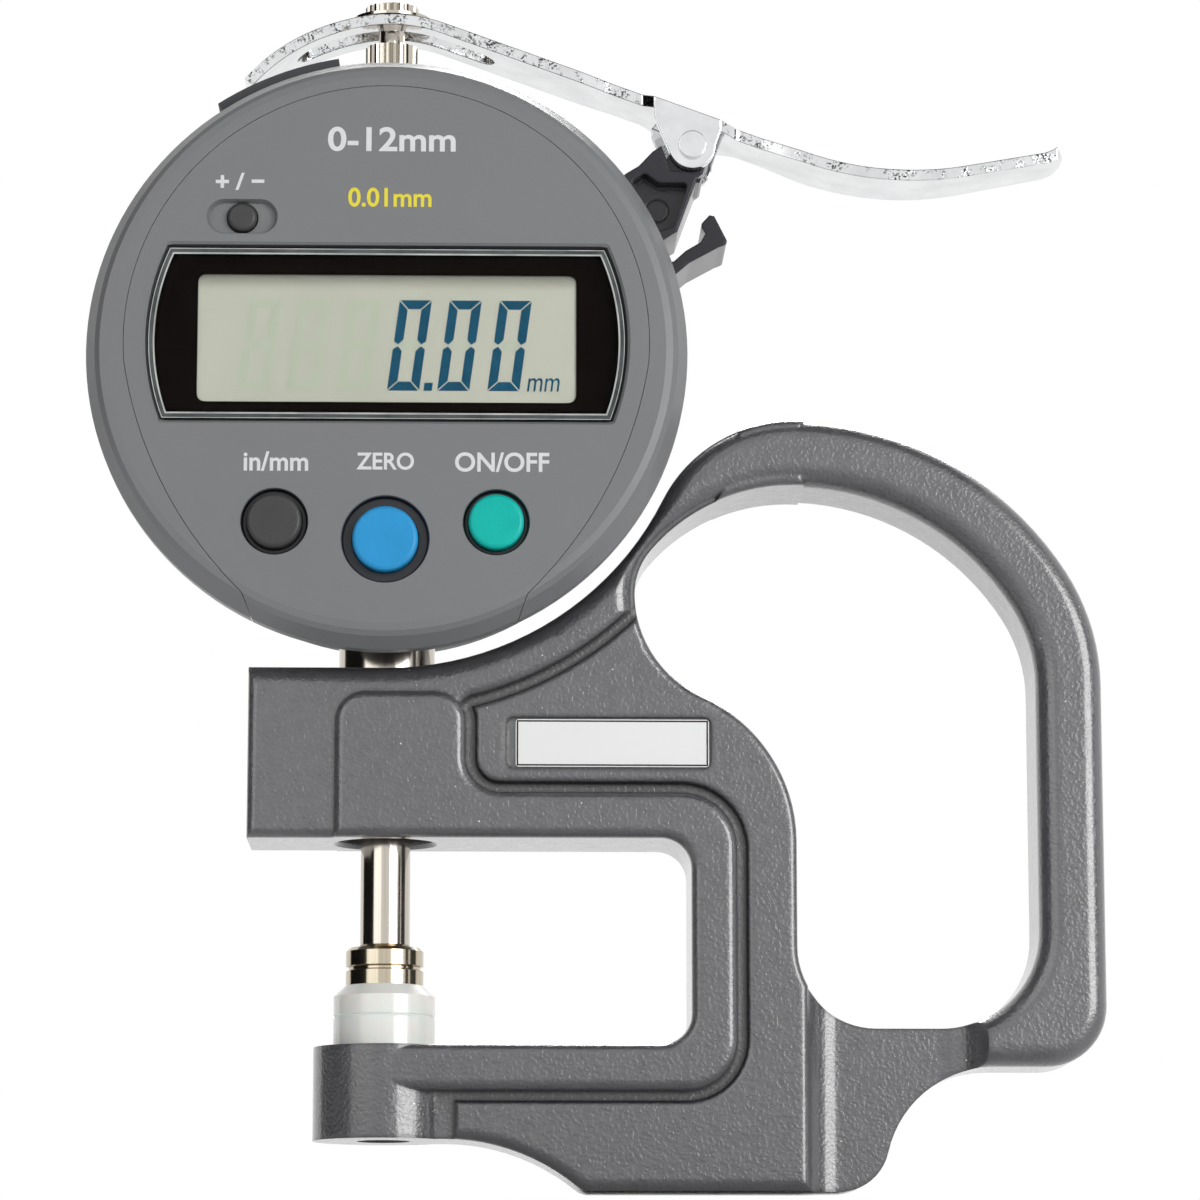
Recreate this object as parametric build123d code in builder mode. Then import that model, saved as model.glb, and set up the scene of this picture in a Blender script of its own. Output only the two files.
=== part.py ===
"""Digital thickness gauge.

A die-cast C-frame with a handle loop carries a round digital indicator. A spindle passes through the
indicator and its stem to a ceramic contact point above a ceramic anvil, and a cam-shaped sheet-metal
lever lifts the spindle by a washer under its top knob.

Sizes are in millimetres. X points right, Z points up along the spindle and the front faces -Y. The
origin is the centre of the anvil's measuring face.
"""

import os
from math import cos, degrees, radians, sin, sqrt

from build123d import *

# Fits and gaps
FIT = 0.02  # radial clearance between a round piece and its bore
SEAM = 0.06  # visible seam between two covers
TRAVEL = 12.0  # lift of the spindle

# Throat of the C-frame
THROAT_BACK = 30.0  # spindle axis to the throat's back wall
JAW_Z = 17.15  # underside of the upper arm
ANVIL_STAND = 3.0  # anvil face above the lower arm
THROAT_CORNER = 3.0

# Outline of the C-frame
BLOCK_LEFT = 13.5  # spindle axis to the block's left end
TIP_RADIUS = 6.95  # round boss at the tip of the lower arm
LOWER_ARM = 9.1  # height of the lower arm at its tip
FOOT_Z = -17.1  # flat under the frame
TOE_START_X = 6.0  # where the lower arm begins to deepen
TOE_RADIUS = 20.5
TOE_CORNER = 2.0
HEEL_X = 44.4  # end of the foot
HEEL_RADIUS = 5.0
BODY_RIGHT = 41.4  # step from the C-shaped body to the thin web
STEP_RUN = 3.2  # width of the hollow at the foot of that step

# Handle loop
HANDLE_RIGHT = 70.7
HANDLE_BOTTOM = -5.0
HANDLE_BAND = 6.5  # width of the grip seen from the front
HANDLE_CROWN_X = 40.3
SHOULDER_RADIUS = 14.5  # outer corner beside the indicator
CROWN_TURN = 57.95  # degrees from straight up where the crown's arc gives way to the grip's
GRIP_RADIUS = 21.5
HANDLE_CORNER = 6.0  # lower right corner
WEB_START_IN = 11.1  # where the lower edge leaves the handle, in from its right side
RAMP_RUN = 4.5  # ramp from the web up to the handle
OPENING_LEFT = 40.4
OPENING_BOTTOM = -1.2
OPENING_RIGHT_CORNER = 9.5
OPENING_LEFT_CORNER = 7.8
CROWN_INNER_RADIUS = 18.5
CROWN_INNER_TURN = 50.0
NOSE_RADIUS = 6.85
NECK_RADIUS = 11.3
NECK_TURN = 65.6

# Half thicknesses of the casting, front and back alike
WEB_HALF = 3.0
SLAB_HALF = 4.8  # floor of the grooves
FIELD_HALF = 5.8  # raised field beside the band
BAND_HALF = 6.9  # band round the throat
LOOP_HALF = 6.2  # block, rim along the indicator and handle
BAND_ROUND = 1.0
FIELD_ROUND = 0.7
BODY_ROUND = 1.1  # outer edges of the body
GRIP_ROUND = 2.0  # outer edges of the handle loop, rim and block
GRIP_INNER_ROUND = 2.2  # edges of the handle's opening
WEB_ROUND = 1.9  # lower edge of the ramp up to the handle
RIM_ROUND = 0.9  # lower edge of the rim and left end of the block
RIM_WIDTH = 4.0  # rim along the indicator's side
RIM_CORNER = 1.5  # hollow corner between the rim and the block
FIELD_CORNER = 3.0
GROOVE = 0.9  # groove between the band, the rim and the field
PAD_LEFT = 5.0
PAD_RIGHT = 7.9
PAD_TOP = 31.6
BAND_WIDTH = 4.5

# Plate in its recess on the front field
PLATE_LEFT = 12.8
PLATE_BOTTOM = 24.2
PLATE_WIDTH = 19.0
PLATE_HEIGHT = 4.7
PLATE_THICKNESS = 0.25
RECESS_DEPTH = 0.4
RECESS_MARGIN = 0.25
RECESS_END = 1.0  # rounded left end beyond the plate

# Indicator housing, centred on the spindle axis
DIAL_Z = 64.6
BEZEL_RADIUS = 29.6
DIAL_GAP = 0.9  # bezel to the frame
FACE_Y = 13.0  # front face ahead of the spindle axis
FACE_STEP = 2.2  # flat of the face inside the bezel's radius
FACE_WALL = 1.6
BEZEL_BACK_Y = 8.5
CASE_STEP = 2.6  # rear case inside the bezel's radius
CASE_WALL = 1.8
CASE_BACK_Y = 8.5
COVER_THICKNESS = 1.6
BOSS_RADIUS = 2.0  # bosses of the rear cover's screws
BOSS_LENGTH = 5.0
BOSS_INSET = 3.0  # circle of those bosses inside the case's radius
COVER_SCREW_RADIUS = 0.8
BOARD_Y = 7.6  # front of the circuit board, ahead of the axis
BOARD_THICKNESS = 1.0
PANEL_STEP = 3.8  # panel inside the bezel's radius
PANEL_RISE = 0.7  # centre of the panel's top arc above the dial centre

# Window and display
WINDOW_TOP = 74.7
WINDOW_BOTTOM = 57.4
WINDOW_TOP_MARGIN = 2.6  # ends of the window to the side of the panel
WINDOW_END_MARGIN = 2.4
WINDOW_FOOT_STEP = 1.4
WINDOW_EDGE = 0.5  # printed film beyond the window's outline
WINDOW_THICKNESS = 0.8
WINDOW_SET_BACK = 0.5
WINDOW_BEVEL = 0.45
FILM_THICKNESS = 0.2
GLASS_LEFT = 18.6
GLASS_TOP = 72.2
GLASS_BOTTOM = 59.4
GLASS_MARGIN = 1.6
GLASS_THICKNESS = 1.8

# Push buttons on the face: x, z, cap diameter, recess diameter
BUTTON_TRAVEL = 0.5
UNIT_BUTTON = (-10.8, 47.2, 5.35, 6.65)
ZERO_BUTTON = (0.0, 45.5, 6.4, 8.7)
POWER_BUTTON = (10.8, 47.2, 5.4, 6.6)
SIGN_BUTTON = (-14.3, 77.7, 2.9, 3.5)
SIGN_DISH_WIDTH = 7.0
CAP_STAND = 0.7  # cap above the face
BUTTON_FLANGE = 0.5  # rim behind the panel, beyond the hole
HOLE_GAP = 0.12  # cap to its hole

# Stem, spindle and contact
STEM_DIAMETER = 9.52
STEM_CLEARANCE = 0.7  # raised collar to the stem above it
STEM_WALL = 1.25
SPINDLE_DIAMETER = 4.9
BUSH_LENGTH = 7.0
COLLAR_DIAMETER = 7.65
COLLAR_BOTTOM = 3.1
COLLAR_TOP = 6.8
TIP_DIAMETER = 10.0
TIP_EDGE_Z = 2.0
ANVIL_HOLE = 5.2
ANVIL_SHANK = 6.5  # length below the lower arm's top

# Top of the spindle
TOP_BUSH_STAND = 2.8  # above the rear case
TOP_BUSH_RADIUS = 3.5
TOP_BOSS_RADIUS = 4.3
NUT_HEIGHT = 3.7
NUT_GAP = 0.5  # above the bush at rest
NUT_DIAMETER = 5.3
NECK_DIAMETER = 2.6
WASHER_DIAMETER = 8.0
WASHER_THICKNESS = 0.3
KNOB_DIAMETER = 5.4
KNOB_HEIGHT = 1.2

# Lifting lever
PIVOT_X = 30.4  # also the base circle of the cam
PIVOT_RISE = 22.9  # above the indicator's centre
CAM_HEIGHT = 13.7  # crest above the pivot
SHEET = 1.1
CAM_TURN = degrees(TRAVEL / PIVOT_X)
CREST_RADIUS = 16.0
ARM_SLOPE = 19.9
ARM_LENGTH = 38.6
TAIL_RADIUS = 19.0
TAIL_TURN = 27.0
THUMB_RADIUS = 31.0
THUMB_TURN = 30.5
THUMB_LENGTH = 8.0
TIP_TURN = 25.0
LEVER_HALF = 4.0
WAIST_HALF = 3.2
EAR_OUTER_Y = 4.6
EAR_RADIUS = 2.35
EAR_LEFT = 3.8  # ends of the ears beside the pivot
EAR_RIGHT = 2.9
SLOT_WIDTH = 3.3
SLOT_LEFT_X = -9.6
SLOT_RIGHT_X = 10.5
PIN_DIAMETER = 2.2
PIN_HEAD = 2.8
WASHER_GAP = 0.1  # cam to the washer at rest

# Bracket of the lever
LUG_RADIUS = 1.95
LUG_HALF = 3.2
BRACKET_HALF = 4.6
POCKET_DEPTH = 1.8
POCKET_CORNER = 0.35
SEAT_FIRST = 50.4  # degrees round the indicator where the bracket and its hook sit
SEAT_LAST = 65.0
HOOK_FIRST = 66.5
HOOK_LAST = 70.5
HOOK_HALF = 4.4
HOOK_CORNER = 0.4
SCREW_DIAMETER = 2.3

# Works inside the housing
CARRIER_BOTTOM = 50.0
CARRIER_TOP = 61.0
RAIL_LEFT = 9.3
RAIL_WIDTH = 2.5
RAIL_SLOT = 1.7
GUIDE_PIN = 1.6
SCALE_Y = 4.6
SCALE_WIDTH = 4.0
SCALE_LENGTH = 26.0
SCALE_THICKNESS = 1.0
SPRING_RADIUS = 3.1
SPRING_WIRE = 0.5
SPRING_SEAT = 2.2  # spring's upper end below the case's inner wall
SPRING_TURNS = 9
BATTERY_DIAMETER = 11.6
BATTERY_HEIGHT = 5.4
BATTERY_PLACE = (9.6, 80.4)
TRAY_GAP = 1.3  # circuit board to the battery's tray
PORT_FIRST = 9.5  # degrees left and right of straight up
PORT_LAST = 33.5
DOOR_LAST = 46.0
PORT_STAND = 4.0  # covers outside the case's radius
DOOR_STAND = 2.8
PORT_FRONT_Y = 8.3
PORT_BACK_Y = 4.6

# Worked out from the sizes above
WEB_START_X = HANDLE_RIGHT - WEB_START_IN
RAMP_RIGHT_X = WEB_START_X - 0.7
RAMP_LEFT_X = RAMP_RIGHT_X - RAMP_RUN
CROWN_RADIUS = GRIP_RADIUS + (HANDLE_RIGHT - GRIP_RADIUS - HANDLE_CROWN_X) / sin(radians(CROWN_TURN))
BLOCK_RIGHT = PAD_RIGHT - 0.5
FACE_RADIUS = BEZEL_RADIUS - FACE_STEP
PANEL_RADIUS = BEZEL_RADIUS - PANEL_STEP
CASE_RADIUS = BEZEL_RADIUS - CASE_STEP
BOSS_CIRCLE = CASE_RADIUS - BOSS_INSET
PORT_RADIUS = CASE_RADIUS + PORT_STAND
DOOR_RADIUS = CASE_RADIUS + DOOR_STAND
PIVOT_Z = DIAL_Z + PIVOT_RISE
EAR_LEFT_X = PIVOT_X - EAR_LEFT
EAR_RIGHT_X = PIVOT_X + EAR_RIGHT
TOP_BUSH_TOP = DIAL_Z + CASE_RADIUS + TOP_BUSH_STAND
NUT_BOTTOM = TOP_BUSH_TOP + NUT_GAP
NUT_TOP = NUT_BOTTOM + NUT_HEIGHT
DIAL = (0.0, DIAL_Z)
ARM_Z = -ANVIL_STAND
TIP_BOTTOM = ARM_Z - LOWER_ARM
CRADLE_RADIUS = BEZEL_RADIUS + DIAL_GAP
BLOCK_TOP = DIAL_Z - CRADLE_RADIUS
CASE_INNER = CASE_RADIUS - CASE_WALL
SPRING_TOP = DIAL_Z + CASE_INNER - SPRING_SEAT
STEM_RADIUS = STEM_DIAMETER / 2
STEM_BOTTOM = COLLAR_TOP + TRAVEL + STEM_CLEARANCE
SPINDLE_RADIUS = SPINDLE_DIAMETER / 2
WINDOW_MIDDLE = (WINDOW_TOP + WINDOW_BOTTOM) / 2
WINDOW_TOP_HALF = sqrt(PANEL_RADIUS**2 - (WINDOW_TOP - DIAL_Z - PANEL_RISE) ** 2) - WINDOW_TOP_MARGIN
WINDOW_END_HALF = PANEL_RADIUS - WINDOW_END_MARGIN
WINDOW_BOTTOM_HALF = WINDOW_END_HALF - WINDOW_FOOT_STEP
WASHER_Z = PIVOT_Z + CAM_HEIGHT + WASHER_GAP
KNOB_Z = WASHER_Z + WASHER_THICKNESS
STEM_TOP = DIAL_Z - CASE_INNER - 0.4
BUTTONS = {
    "unit_button": UNIT_BUTTON,
    "zero_button": ZERO_BUTTON,
    "power_button": POWER_BUTTON,
    "sign_button": SIGN_BUTTON,
}

os.makedirs("parts", exist_ok=True)


def finish(piece, name):
    """Label a finished piece and write its file."""
    piece.part.label = name
    export_step(piece.part, f"parts/{name}.step")


def front(distance):
    """Sketch plane seen from the front, a distance ahead of the spindle axis."""
    return Plane.XZ.offset(distance)


def short_arc(centre, start, end):
    """The short arc round a centre from start to end."""
    centre = Vector(*centre)
    towards_start = Vector(*start) - centre
    towards_end = Vector(*end) - centre
    middle = centre + (towards_start + towards_end).normalized() * towards_start.length
    return ThreePointArc(Vector(*start), middle, Vector(*end))


def between(first, last, share):
    """The point at a share of the way from first to last."""
    return tuple(a + (b - a) * share for a, b in zip(first, last))


def on_dial(radius, angle):
    """A point round the indicator's centre, by degrees clockwise from straight up."""
    return (radius * sin(radians(angle)), DIAL_Z + radius * cos(radians(angle)))


def dial_sector(inner, outer, first, last):
    """A sector of a ring round the indicator's centre, as a sketch."""
    middle = (first + last) / 2
    with BuildSketch() as sector:
        with BuildLine():
            ThreePointArc(on_dial(outer, first), on_dial(outer, middle), on_dial(outer, last))
            Line(on_dial(outer, last), on_dial(inner, last))
            ThreePointArc(on_dial(inner, last), on_dial(inner, middle), on_dial(inner, first))
            Line(on_dial(inner, first), on_dial(outer, first))
        make_face()
    return sector.sketch


# Frame casting: outer outline
handle_crown_z = DIAL_Z - sqrt((CRADLE_RADIUS + SHOULDER_RADIUS) ** 2 - HANDLE_CROWN_X**2)
shoulder = (HANDLE_CROWN_X, handle_crown_z)
handle_top = (HANDLE_CROWN_X, handle_crown_z + SHOULDER_RADIUS)
cradle_end = between(DIAL, shoulder, CRADLE_RADIUS / (CRADLE_RADIUS + SHOULDER_RADIUS))
crown = (HANDLE_CROWN_X, handle_top[1] - CROWN_RADIUS)
grip_x = HANDLE_RIGHT - GRIP_RADIUS
grip = (grip_x, crown[1] + sqrt((CROWN_RADIUS - GRIP_RADIUS) ** 2 - (grip_x - HANDLE_CROWN_X) ** 2))
crown_end = between(crown, grip, CROWN_RADIUS / (CROWN_RADIUS - GRIP_RADIUS))
heel = (HEEL_X, FOOT_Z + HEEL_RADIUS)
heel_rise = HANDLE_BOTTOM - heel[1]
web_run = WEB_START_X - HEEL_X
web_radius = (web_run**2 + heel_rise**2 - HEEL_RADIUS**2) / (2 * (HEEL_RADIUS + heel_rise))
web_centre = (WEB_START_X, HANDLE_BOTTOM - web_radius)
heel_end = between(heel, web_centre, HEEL_RADIUS / (HEEL_RADIUS + web_radius))
toe_centre = (TOE_START_X, TIP_BOTTOM - TOE_RADIUS)
toe_x = TOE_START_X + sqrt(TOE_RADIUS**2 - (FOOT_Z - toe_centre[1]) ** 2)
corner_x = HANDLE_RIGHT - HANDLE_CORNER
corner_z = HANDLE_BOTTOM + HANDLE_CORNER

with BuildSketch() as solid_outline:
    with BuildLine():
        Line((-BLOCK_LEFT, BLOCK_TOP), (0, BLOCK_TOP))
        short_arc(DIAL, (0, BLOCK_TOP), cradle_end)
        short_arc(shoulder, cradle_end, handle_top)
        short_arc(crown, handle_top, crown_end)
        short_arc(grip, crown_end, (HANDLE_RIGHT, grip[1]))
        Line((HANDLE_RIGHT, grip[1]), (HANDLE_RIGHT, corner_z))
        short_arc((corner_x, corner_z), (HANDLE_RIGHT, corner_z), (corner_x, HANDLE_BOTTOM))
        Line((corner_x, HANDLE_BOTTOM), (WEB_START_X, HANDLE_BOTTOM))
        short_arc(web_centre, (WEB_START_X, HANDLE_BOTTOM), heel_end)
        short_arc(heel, heel_end, (HEEL_X, FOOT_Z))
        Line((HEEL_X, FOOT_Z), (toe_x, FOOT_Z))
        short_arc(toe_centre, (toe_x, FOOT_Z), (TOE_START_X, TIP_BOTTOM))
        Polyline(
            (TOE_START_X, TIP_BOTTOM),
            (0, TIP_BOTTOM),
            (0, ARM_Z),
            (THROAT_BACK, ARM_Z),
            (THROAT_BACK, JAW_Z),
            (-BLOCK_LEFT, JAW_Z),
            (-BLOCK_LEFT, BLOCK_TOP),
        )
    make_face()
    throat_corners = [
        solid_outline.vertices().sort_by_distance((THROAT_BACK, z))[0] for z in (ARM_Z, JAW_Z)
    ]
    fillet(throat_corners, THROAT_CORNER)
    fillet(solid_outline.vertices().sort_by_distance((toe_x, FOOT_Z))[0], TOE_CORNER)

# Opening of the handle, counter-clockwise from its top
opening_right = HANDLE_RIGHT - HANDLE_BAND
opening_top = handle_top[1] - HANDLE_BAND
inner_crown_end = between(crown, grip, (CROWN_RADIUS - HANDLE_BAND) / (CROWN_RADIUS - GRIP_RADIUS))

with BuildSketch() as handle_opening:
    with BuildLine():
        upper = JernArc((HANDLE_CROWN_X, opening_top), (-1, 0), CROWN_INNER_RADIUS, CROWN_INNER_TURN)
        nose = JernArc(upper @ 1, upper % 1, NOSE_RADIUS, 90 - CROWN_INNER_TURN)
        neck = JernArc(nose @ 1, nose % 1, NECK_RADIUS, NECK_TURN)
        side_radius = (OPENING_LEFT - (neck @ 1).X) / (1 - cos(radians(NECK_TURN)))
        side = JernArc(neck @ 1, neck % 1, side_radius, -NECK_TURN)
        left_corner = (OPENING_LEFT + OPENING_LEFT_CORNER, OPENING_BOTTOM + OPENING_LEFT_CORNER)
        right_corner = (opening_right - OPENING_RIGHT_CORNER, OPENING_BOTTOM + OPENING_RIGHT_CORNER)
        Line(side @ 1, (OPENING_LEFT, left_corner[1]))
        short_arc(left_corner, (OPENING_LEFT, left_corner[1]), (left_corner[0], OPENING_BOTTOM))
        Line((left_corner[0], OPENING_BOTTOM), (right_corner[0], OPENING_BOTTOM))
        short_arc(right_corner, (right_corner[0], OPENING_BOTTOM), (opening_right, right_corner[1]))
        Line((opening_right, right_corner[1]), (opening_right, grip[1]))
        short_arc(grip, (opening_right, grip[1]), inner_crown_end)
        short_arc(crown, inner_crown_end, (HANDLE_CROWN_X, opening_top))
    make_face()

with BuildSketch() as silhouette:
    add(solid_outline.sketch_local)
    add(handle_opening.sketch_local, mode=Mode.SUBTRACT)

# Band round the throat, with the pad that clamps the stem
with BuildSketch() as band_outline:
    with BuildLine():
        FilletPolyline(
            (-PAD_LEFT, JAW_Z),
            (-PAD_LEFT, PAD_TOP),
            (PAD_RIGHT, PAD_TOP),
            (PAD_RIGHT, JAW_Z + BAND_WIDTH),
            (THROAT_BACK + BAND_WIDTH, JAW_Z + BAND_WIDTH),
            (THROAT_BACK + BAND_WIDTH, ARM_Z - BAND_WIDTH),
            (0, ARM_Z - BAND_WIDTH),
            (0, ARM_Z),
            (THROAT_BACK, ARM_Z),
            (THROAT_BACK, JAW_Z),
            radius=[0, 3.0, 3.0, 3.4, 5.5, 5.0, 0, 0, THROAT_CORNER, THROAT_CORNER],
            close=True,
        )
    make_face()

with BuildSketch() as groove_outline:
    add(band_outline.sketch_local)
    offset(amount=GROOVE)

rim_radius = CRADLE_RADIUS + RIM_WIDTH

with BuildSketch() as body_outline:
    add(silhouette.sketch_local)
    with Locations((BODY_RIGHT, FOOT_Z)):
        Rectangle(HANDLE_RIGHT, 2 * DIAL_Z, align=(Align.MIN, Align.MIN), mode=Mode.SUBTRACT)

with BuildSketch() as field_outline:
    add(body_outline.sketch_local)
    add(groove_outline.sketch_local, mode=Mode.SUBTRACT)
    with Locations(DIAL):
        Circle(rim_radius + GROOVE, mode=Mode.SUBTRACT)
    with Locations((0, FOOT_Z)):
        Rectangle(TIP_RADIUS, -FOOT_Z, align=(Align.MIN, Align.MIN), mode=Mode.SUBTRACT)
    with Locations((BLOCK_RIGHT, JAW_Z)):
        Rectangle(2 * BLOCK_LEFT, DIAL_Z, align=(Align.MAX, Align.MIN), mode=Mode.SUBTRACT)
    upper_corner = (PAD_RIGHT + GROOVE, DIAL_Z - rim_radius - GROOVE)
    fillet(field_outline.vertices().sort_by_distance(upper_corner)[0], FIELD_CORNER)

# Block, rim along the indicator and handle share one height
with BuildSketch() as below_rim:
    with Locations((BLOCK_RIGHT, FOOT_Z)):
        Rectangle(RAMP_RIGHT_X - BLOCK_RIGHT, left_corner[1] - FOOT_Z, align=(Align.MIN, Align.MIN))
        Rectangle(OPENING_LEFT + 1 - BLOCK_RIGHT, (nose @ 1).Y - FOOT_Z, align=(Align.MIN, Align.MIN))
    with Locations(DIAL):
        Circle(rim_radius, mode=Mode.SUBTRACT)
    with Locations((BLOCK_RIGHT, JAW_Z)):
        Rectangle(2 * BLOCK_LEFT + BLOCK_RIGHT, DIAL_Z, align=(Align.MAX, Align.MAX))

with BuildSketch() as loop_outline:
    add(silhouette.sketch_local)
    add(below_rim.sketch_local, mode=Mode.SUBTRACT)
    rim_corner = (BLOCK_RIGHT, DIAL_Z - sqrt(rim_radius**2 - BLOCK_RIGHT**2))
    fillet(loop_outline.vertices().sort_by_distance(rim_corner)[0], RIM_CORNER)


def layer(outline, half, rounding):
    """A casting layer of the given half thickness, with its front and back edges rounded."""
    with BuildPart() as slab:
        with BuildSketch(Plane.XZ):
            add(outline.sketch_local)
        extrude(amount=half, both=True)
        if rounding:
            flat = slab.faces().filter_by(Axis.Y).group_by(Axis.Y)
            fillet((flat[0] + flat[-1]).edges(), rounding)
    return slab.part


def loop_rounded(outline, rounding, place):
    """An outline at the handle's thickness, its front and back edges nearest to the place rounded."""
    with BuildPart() as loop:
        add(layer(outline, LOOP_HALF, 0))
        for y in (-LOOP_HALF, LOOP_HALF):
            fillet(loop.edges().sort_by_distance((place[0], y, place[1]))[0], rounding)
    return loop.part


grip_middle = (corner_z + grip[1]) / 2
rim_middle = (rim_radius * sin(radians(30)), DIAL_Z - rim_radius * cos(radians(30)))
with BuildPart() as handle_loop:
    add(loop_rounded(loop_outline, GRIP_ROUND, (HANDLE_RIGHT, grip_middle)))
    add(loop_rounded(loop_outline, GRIP_INNER_ROUND, (opening_right, grip_middle)), mode=Mode.INTERSECT)
    for place in (rim_middle, (-BLOCK_LEFT, (JAW_Z + BLOCK_TOP) / 2), (PAD_LEFT - BLOCK_LEFT, JAW_Z)):
        add(loop_rounded(loop_outline, RIM_ROUND, place), mode=Mode.INTERSECT)

with BuildPart() as web_blends:
    for side_sign in (1, -1):
        with BuildSketch(Plane.XY.offset(FOOT_Z)):
            with BuildLine():
                Polyline(
                    (THROAT_BACK + BAND_WIDTH, 0),
                    (THROAT_BACK + BAND_WIDTH, side_sign * SLAB_HALF),
                    (BODY_RIGHT, side_sign * SLAB_HALF),
                )
                hollow = TangentArc(
                    (BODY_RIGHT + STEP_RUN, side_sign * WEB_HALF),
                    (BODY_RIGHT, side_sign * SLAB_HALF),
                    tangent=(-1, 0),
                )
                Line(hollow @ 0, (RAMP_LEFT_X, side_sign * WEB_HALF))
                ramp = TangentArc(
                    (RAMP_LEFT_X, side_sign * WEB_HALF),
                    (RAMP_RIGHT_X, side_sign * LOOP_HALF),
                    tangent=(1, 0),
                )
                Polyline(
                    ramp @ 1,
                    (WEB_START_X, side_sign * LOOP_HALF),
                    (WEB_START_X, 0),
                    (THROAT_BACK + BAND_WIDTH, 0),
                )
            make_face()
        extrude(amount=left_corner[1] - FOOT_Z)
    add(loop_rounded(silhouette, GRIP_INNER_ROUND, (opening_right, grip_middle)), mode=Mode.INTERSECT)
    add(loop_rounded(silhouette, WEB_ROUND, (HANDLE_RIGHT, grip_middle)), mode=Mode.INTERSECT)

with BuildPart() as body_limit:
    add(layer(body_outline, FIELD_HALF, 0))
    for y in (-FIELD_HALF, FIELD_HALF):
        fillet(body_limit.edges().sort_by_distance((THROAT_BACK, y, FOOT_Z))[0], BODY_ROUND)

with BuildPart() as body:
    add(layer(body_outline, SLAB_HALF, 0))
    add(layer(field_outline, FIELD_HALF, FIELD_ROUND))
    add(body_limit.part, mode=Mode.INTERSECT)

with BuildPart() as frame_casting:
    add(layer(silhouette, WEB_HALF, 0))
    add(web_blends.part)
    add(body.part)
    add(layer(band_outline, BAND_HALF, BAND_ROUND))
    add(handle_loop.part)
    with Locations((0, 0, TIP_BOTTOM)):
        Cylinder(TIP_RADIUS, LOWER_ARM, align=(Align.CENTER, Align.CENTER, Align.MIN))
    # bore for the stem, with a countersunk mouth under the arm
    with Locations((0, 0, JAW_Z)):
        Cylinder(
            STEM_RADIUS + FIT,
            BLOCK_TOP - JAW_Z + STEM_RADIUS,
            align=(Align.CENTER, Align.CENTER, Align.MIN),
            mode=Mode.SUBTRACT,
        )
        Cone(
            STEM_RADIUS + 0.4,
            STEM_RADIUS,
            0.4,
            align=(Align.CENTER, Align.CENTER, Align.MIN),
            mode=Mode.SUBTRACT,
        )
    # hole for the anvil's shank
    with Locations((0, 0, TIP_BOTTOM)):
        Cylinder(
            ANVIL_HOLE / 2,
            LOWER_ARM,
            align=(Align.CENTER, Align.CENTER, Align.MIN),
            mode=Mode.SUBTRACT,
        )
    # hole for the clamp screw in the block's left end
    with Locations(Location((-BLOCK_LEFT, 0, (JAW_Z + BLOCK_TOP) / 2), (0, 90, 0))):
        Cylinder(
            2.0 + FIT,
            BLOCK_LEFT - STEM_RADIUS,
            align=(Align.CENTER, Align.CENTER, Align.MIN),
            mode=Mode.SUBTRACT,
        )
    # recess of the plate on the front
    with BuildSketch(front(FIELD_HALF)):
        with Locations((PLATE_LEFT - RECESS_END, PLATE_BOTTOM - RECESS_MARGIN)):
            RectangleRounded(
                PLATE_WIDTH + RECESS_END + RECESS_MARGIN,
                PLATE_HEIGHT + 2 * RECESS_MARGIN,
                0.8,
                align=(Align.MIN, Align.MIN),
            )
    extrude(amount=-RECESS_DEPTH, mode=Mode.SUBTRACT)
finish(frame_casting, "frame_casting")

with BuildPart() as label_plate:
    with BuildSketch(front(FIELD_HALF - RECESS_DEPTH)):
        with Locations((PLATE_LEFT, PLATE_BOTTOM)):
            RectangleRounded(PLATE_WIDTH, PLATE_HEIGHT, 0.3, align=(Align.MIN, Align.MIN))
    extrude(amount=PLATE_THICKNESS)
finish(label_plate, "label_plate")

screw_z = (JAW_Z + BLOCK_TOP) / 2
with BuildPart() as stem_clamp_screw:
    with Locations(Location((-BLOCK_LEFT + 1.0, 0, screw_z), (0, 90, 0))):
        Cylinder(2.0, BLOCK_LEFT - STEM_RADIUS - 1.0 - FIT, align=(Align.CENTER, Align.CENTER, Align.MIN))
    with BuildSketch(Plane.YZ.offset(-BLOCK_LEFT + 1.0)):
        with Locations((0, screw_z)):
            RegularPolygon(1.15, 6)
    extrude(amount=1.8, mode=Mode.SUBTRACT)
finish(stem_clamp_screw, "stem_clamp_screw")

# Anvil and contact point
with BuildPart() as anvil:
    with BuildSketch(Plane.XZ):
        Polygon(
            (0, 0),
            (TIP_DIAMETER / 2 - 0.15, 0),
            (TIP_DIAMETER / 2, -0.15),
            (TIP_DIAMETER / 2, ARM_Z),
            (ANVIL_HOLE / 2 - FIT, ARM_Z),
            (ANVIL_HOLE / 2 - FIT, ARM_Z - ANVIL_SHANK),
            (0, ARM_Z - ANVIL_SHANK),
            align=None,
        )
    revolve(axis=Axis.Z)
finish(anvil, "anvil")

with BuildPart() as contact_tip:
    with BuildSketch(Plane.XZ):
        Polygon(
            (0, 0),
            (TIP_DIAMETER / 2 - 0.15, 0),
            (TIP_DIAMETER / 2, 0.15),
            (TIP_DIAMETER / 2, TIP_EDGE_Z),
            (COLLAR_DIAMETER / 2, COLLAR_BOTTOM),
            (0, COLLAR_BOTTOM),
            align=None,
        )
    revolve(axis=Axis.Z)
finish(contact_tip, "contact_tip")

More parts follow.
